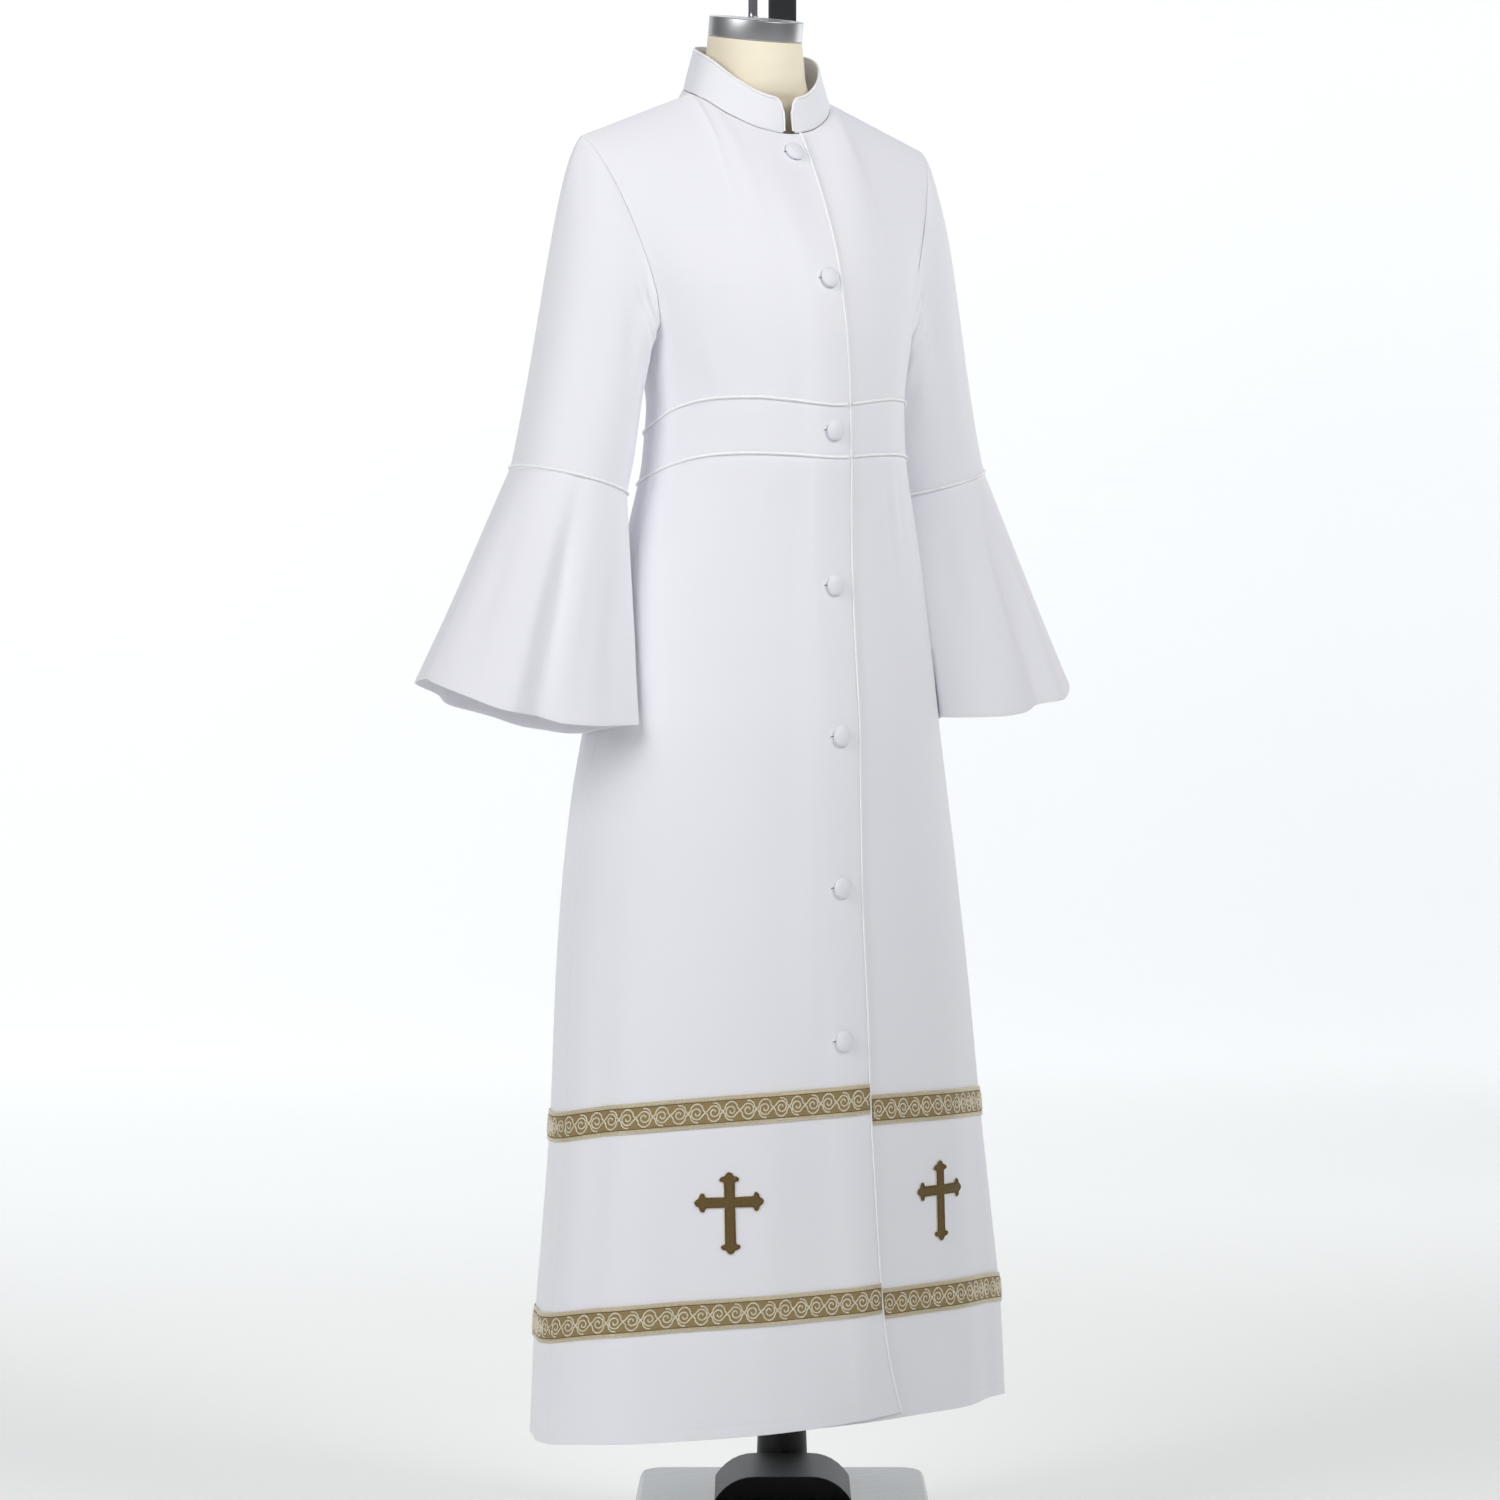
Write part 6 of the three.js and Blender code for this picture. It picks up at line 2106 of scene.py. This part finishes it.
class Studio:
    """The pale floor and backdrop, the soft lights and the camera."""

    LENS = 124.8
    SENSOR = 36.0
    EYE = Vector((-3.0086, -4.6042, 1.112))
    HEADING = Vector((0.5446, 0.8387, 0))
    PITCH = 2.3896
    SWEEP = {"half": 9.0, "starts": -7.0, "length": 22.0, "bend": 5.5, "bent": 9.0, "radius": 2.2}
    GLOW_FAR = ((1.2, 7.3), (0.29, 0.65))
    GLOW_NEAR = ((1.9, 3.1), (0.0, 0.06))
    GLOW_BESIDE = ((-1.4, 1.4), (0.03, -0.04))
    SKY = 0.148
    LIGHTS = (
        ("key_left", (-4.2, -1.2, 3.0), 2.4, 34, 1.5, 100),
        ("edge_right", (3.6, 0.6, 1.8), 2.0, 15, 0.95, 180),
        ("top_back", (0.8, 3.0, 3.6), 2.4, 16, 0.95, 180),
        ("high_front", (0.9, -3.0, 3.4), 1.8, 11.6, 1.6, 64),
    )

    def camera(self) -> None:
        """Puts the camera at the photograph's viewing angle."""
        data = bpy.data.cameras.new("studio_camera")
        data.lens = self.LENS
        data.sensor_width = self.SENSOR
        data.clip_end = 60
        data.dof.use_dof = False
        camera = bpy.data.objects.new("studio_camera", data)
        bpy.context.scene.collection.objects.link(camera)
        way = self.HEADING * cos(self.PITCH) - Vector((0, 0, sin(self.PITCH)))
        camera.rotation_mode = "QUATERNION"
        camera.rotation_quaternion = way.to_track_quat("-Z", "Y")
        camera.location = self.EYE
        bpy.context.scene.camera = camera

    def backdrop(self) -> None:
        """Lays one pale sweep of floor and backdrop behind the object."""
        mesh = bmesh.new()
        bmesh.ops.create_grid(mesh, x_segments=8, y_segments=60, size=1.0)
        turn = Matrix.Rotation(math.atan2(-self.HEADING.x, self.HEADING.y), 4, "Z")
        sweep = self.SWEEP
        for vert in mesh.verts:
            along = (vert.co.y + 1) / 2 * sweep["length"] + sweep["starts"]
            turned = max(0.0, min(1.0, (along - sweep["bend"]) / (sweep["bent"] - sweep["bend"]))) * 90
            rise = max(0.0, along - sweep["bent"]) + sweep["radius"] * (1 - cos(turned))
            forward = min(along, sweep["bend"]) + sweep["radius"] * sin(turned)
            vert.co = turn @ Vector((vert.co.x * sweep["half"], forward, rise))
        bmesh.ops.recalc_face_normals(mesh, faces=mesh.faces)
        data = bpy.data.meshes.new("studio_sweep")
        mesh.to_mesh(data)
        mesh.free()
        paper = bpy.data.objects.new("studio_sweep", data)
        bpy.context.scene.collection.objects.link(paper)
        data.polygons.foreach_set("use_smooth", [True] * len(data.polygons))
        data.materials.append(self.paper())

    def paper(self) -> bpy.types.Material:
        """Returns pale paper that glows more further off, and a little more on the viewer's left."""
        made = bpy.data.materials.new("pale_paper")
        nodes = Nodes(made)
        place = nodes.place()
        away = nodes.along(place, self.HEADING)
        glow = nodes.maths("ADD", nodes.ramp(away, *self.GLOW_FAR), nodes.ramp(away, *self.GLOW_NEAR))
        beside = nodes.along(place, self.HEADING.cross(Vector((0, 0, 1))))
        nodes.shade(
            {
                "Base Color": linear("EDEDE8"),
                "Roughness": 0.9,
                "Emission Color": linear("F6FAFF"),
                "Emission Strength": nodes.maths("ADD", glow, nodes.ramp(beside, *self.GLOW_BESIDE)),
            }
        )
        return made

    def light(
        self,
        name: str,
        place: tuple[float, float, float],
        size: float,
        power: float,
        aim: float,
        spread: float,
    ) -> None:
        """Adds a soft square light that looks at the robe.

        Args:
            name: the light's name.
            place: where it is, in metres.
            size: the length of its side in metres.
            power: its power in watts.
            aim: the height that it looks at, in metres.
            spread: the angle of its beam in degrees.
        """
        data = bpy.data.lights.new(name, "AREA")
        data.shape = "SQUARE"
        data.size = size
        data.energy = power
        data.spread = math.radians(spread)
        lamp = bpy.data.objects.new(name, data)
        bpy.context.scene.collection.objects.link(lamp)
        lamp.location = place
        lamp.rotation_mode = "QUATERNION"
        lamp.rotation_quaternion = (Vector((0, 0, aim)) - lamp.location).to_track_quat("-Z", "Y")

    def build(self) -> None:
        """Makes the whole studio."""
        self.camera()
        self.backdrop()
        world = bpy.data.worlds.new("pale_studio")
        world.use_nodes = True
        sky = world.node_tree.nodes["Background"]
        sky.inputs["Color"].default_value = linear("FAFBFF")
        sky.inputs["Strength"].default_value = self.SKY
        bpy.context.scene.world = world
        bpy.context.scene.view_settings.view_transform = "Standard"
        for light in self.LIGHTS:
            self.light(*light)


def main() -> None:
    """Builds the object's sub-assemblies in order, then the studio."""
    logging.basicConfig(level=logging.INFO, format="%(name)s %(message)s")
    pipings = Pipings()
    crosses = {cross.panel.label: cross.build("cross_" + side) for side, cross in CROSSES.items()}
    steps: list[tuple[str, Callable[[], object]]] = [
        ("skirt", lambda: SKIRT.build(crosses)),
        ("waistband", Waistband().build),
        ("bodice", BODICE.build),
        ("braids", Braids().build),
        ("buttons", Buttons().build),
        ("waist piping", pipings.waist),
        ("front piping", pipings.front_edge),
        ("dress form", DressForm().build),
        ("stand", Stand().build),
        ("studio", Studio().build),
    ]
    for name, build in steps:
        build()
        LOG.info("built the %s", name)
    pipings.collar(Collar().build())
    for side in Side:
        sleeve = Sleeve(side)
        sleeve.build()
        pipings.sleeve(sleeve)
        LOG.info("built the %s sleeve", side.name.lower())


if __name__ == "__main__":
    main()
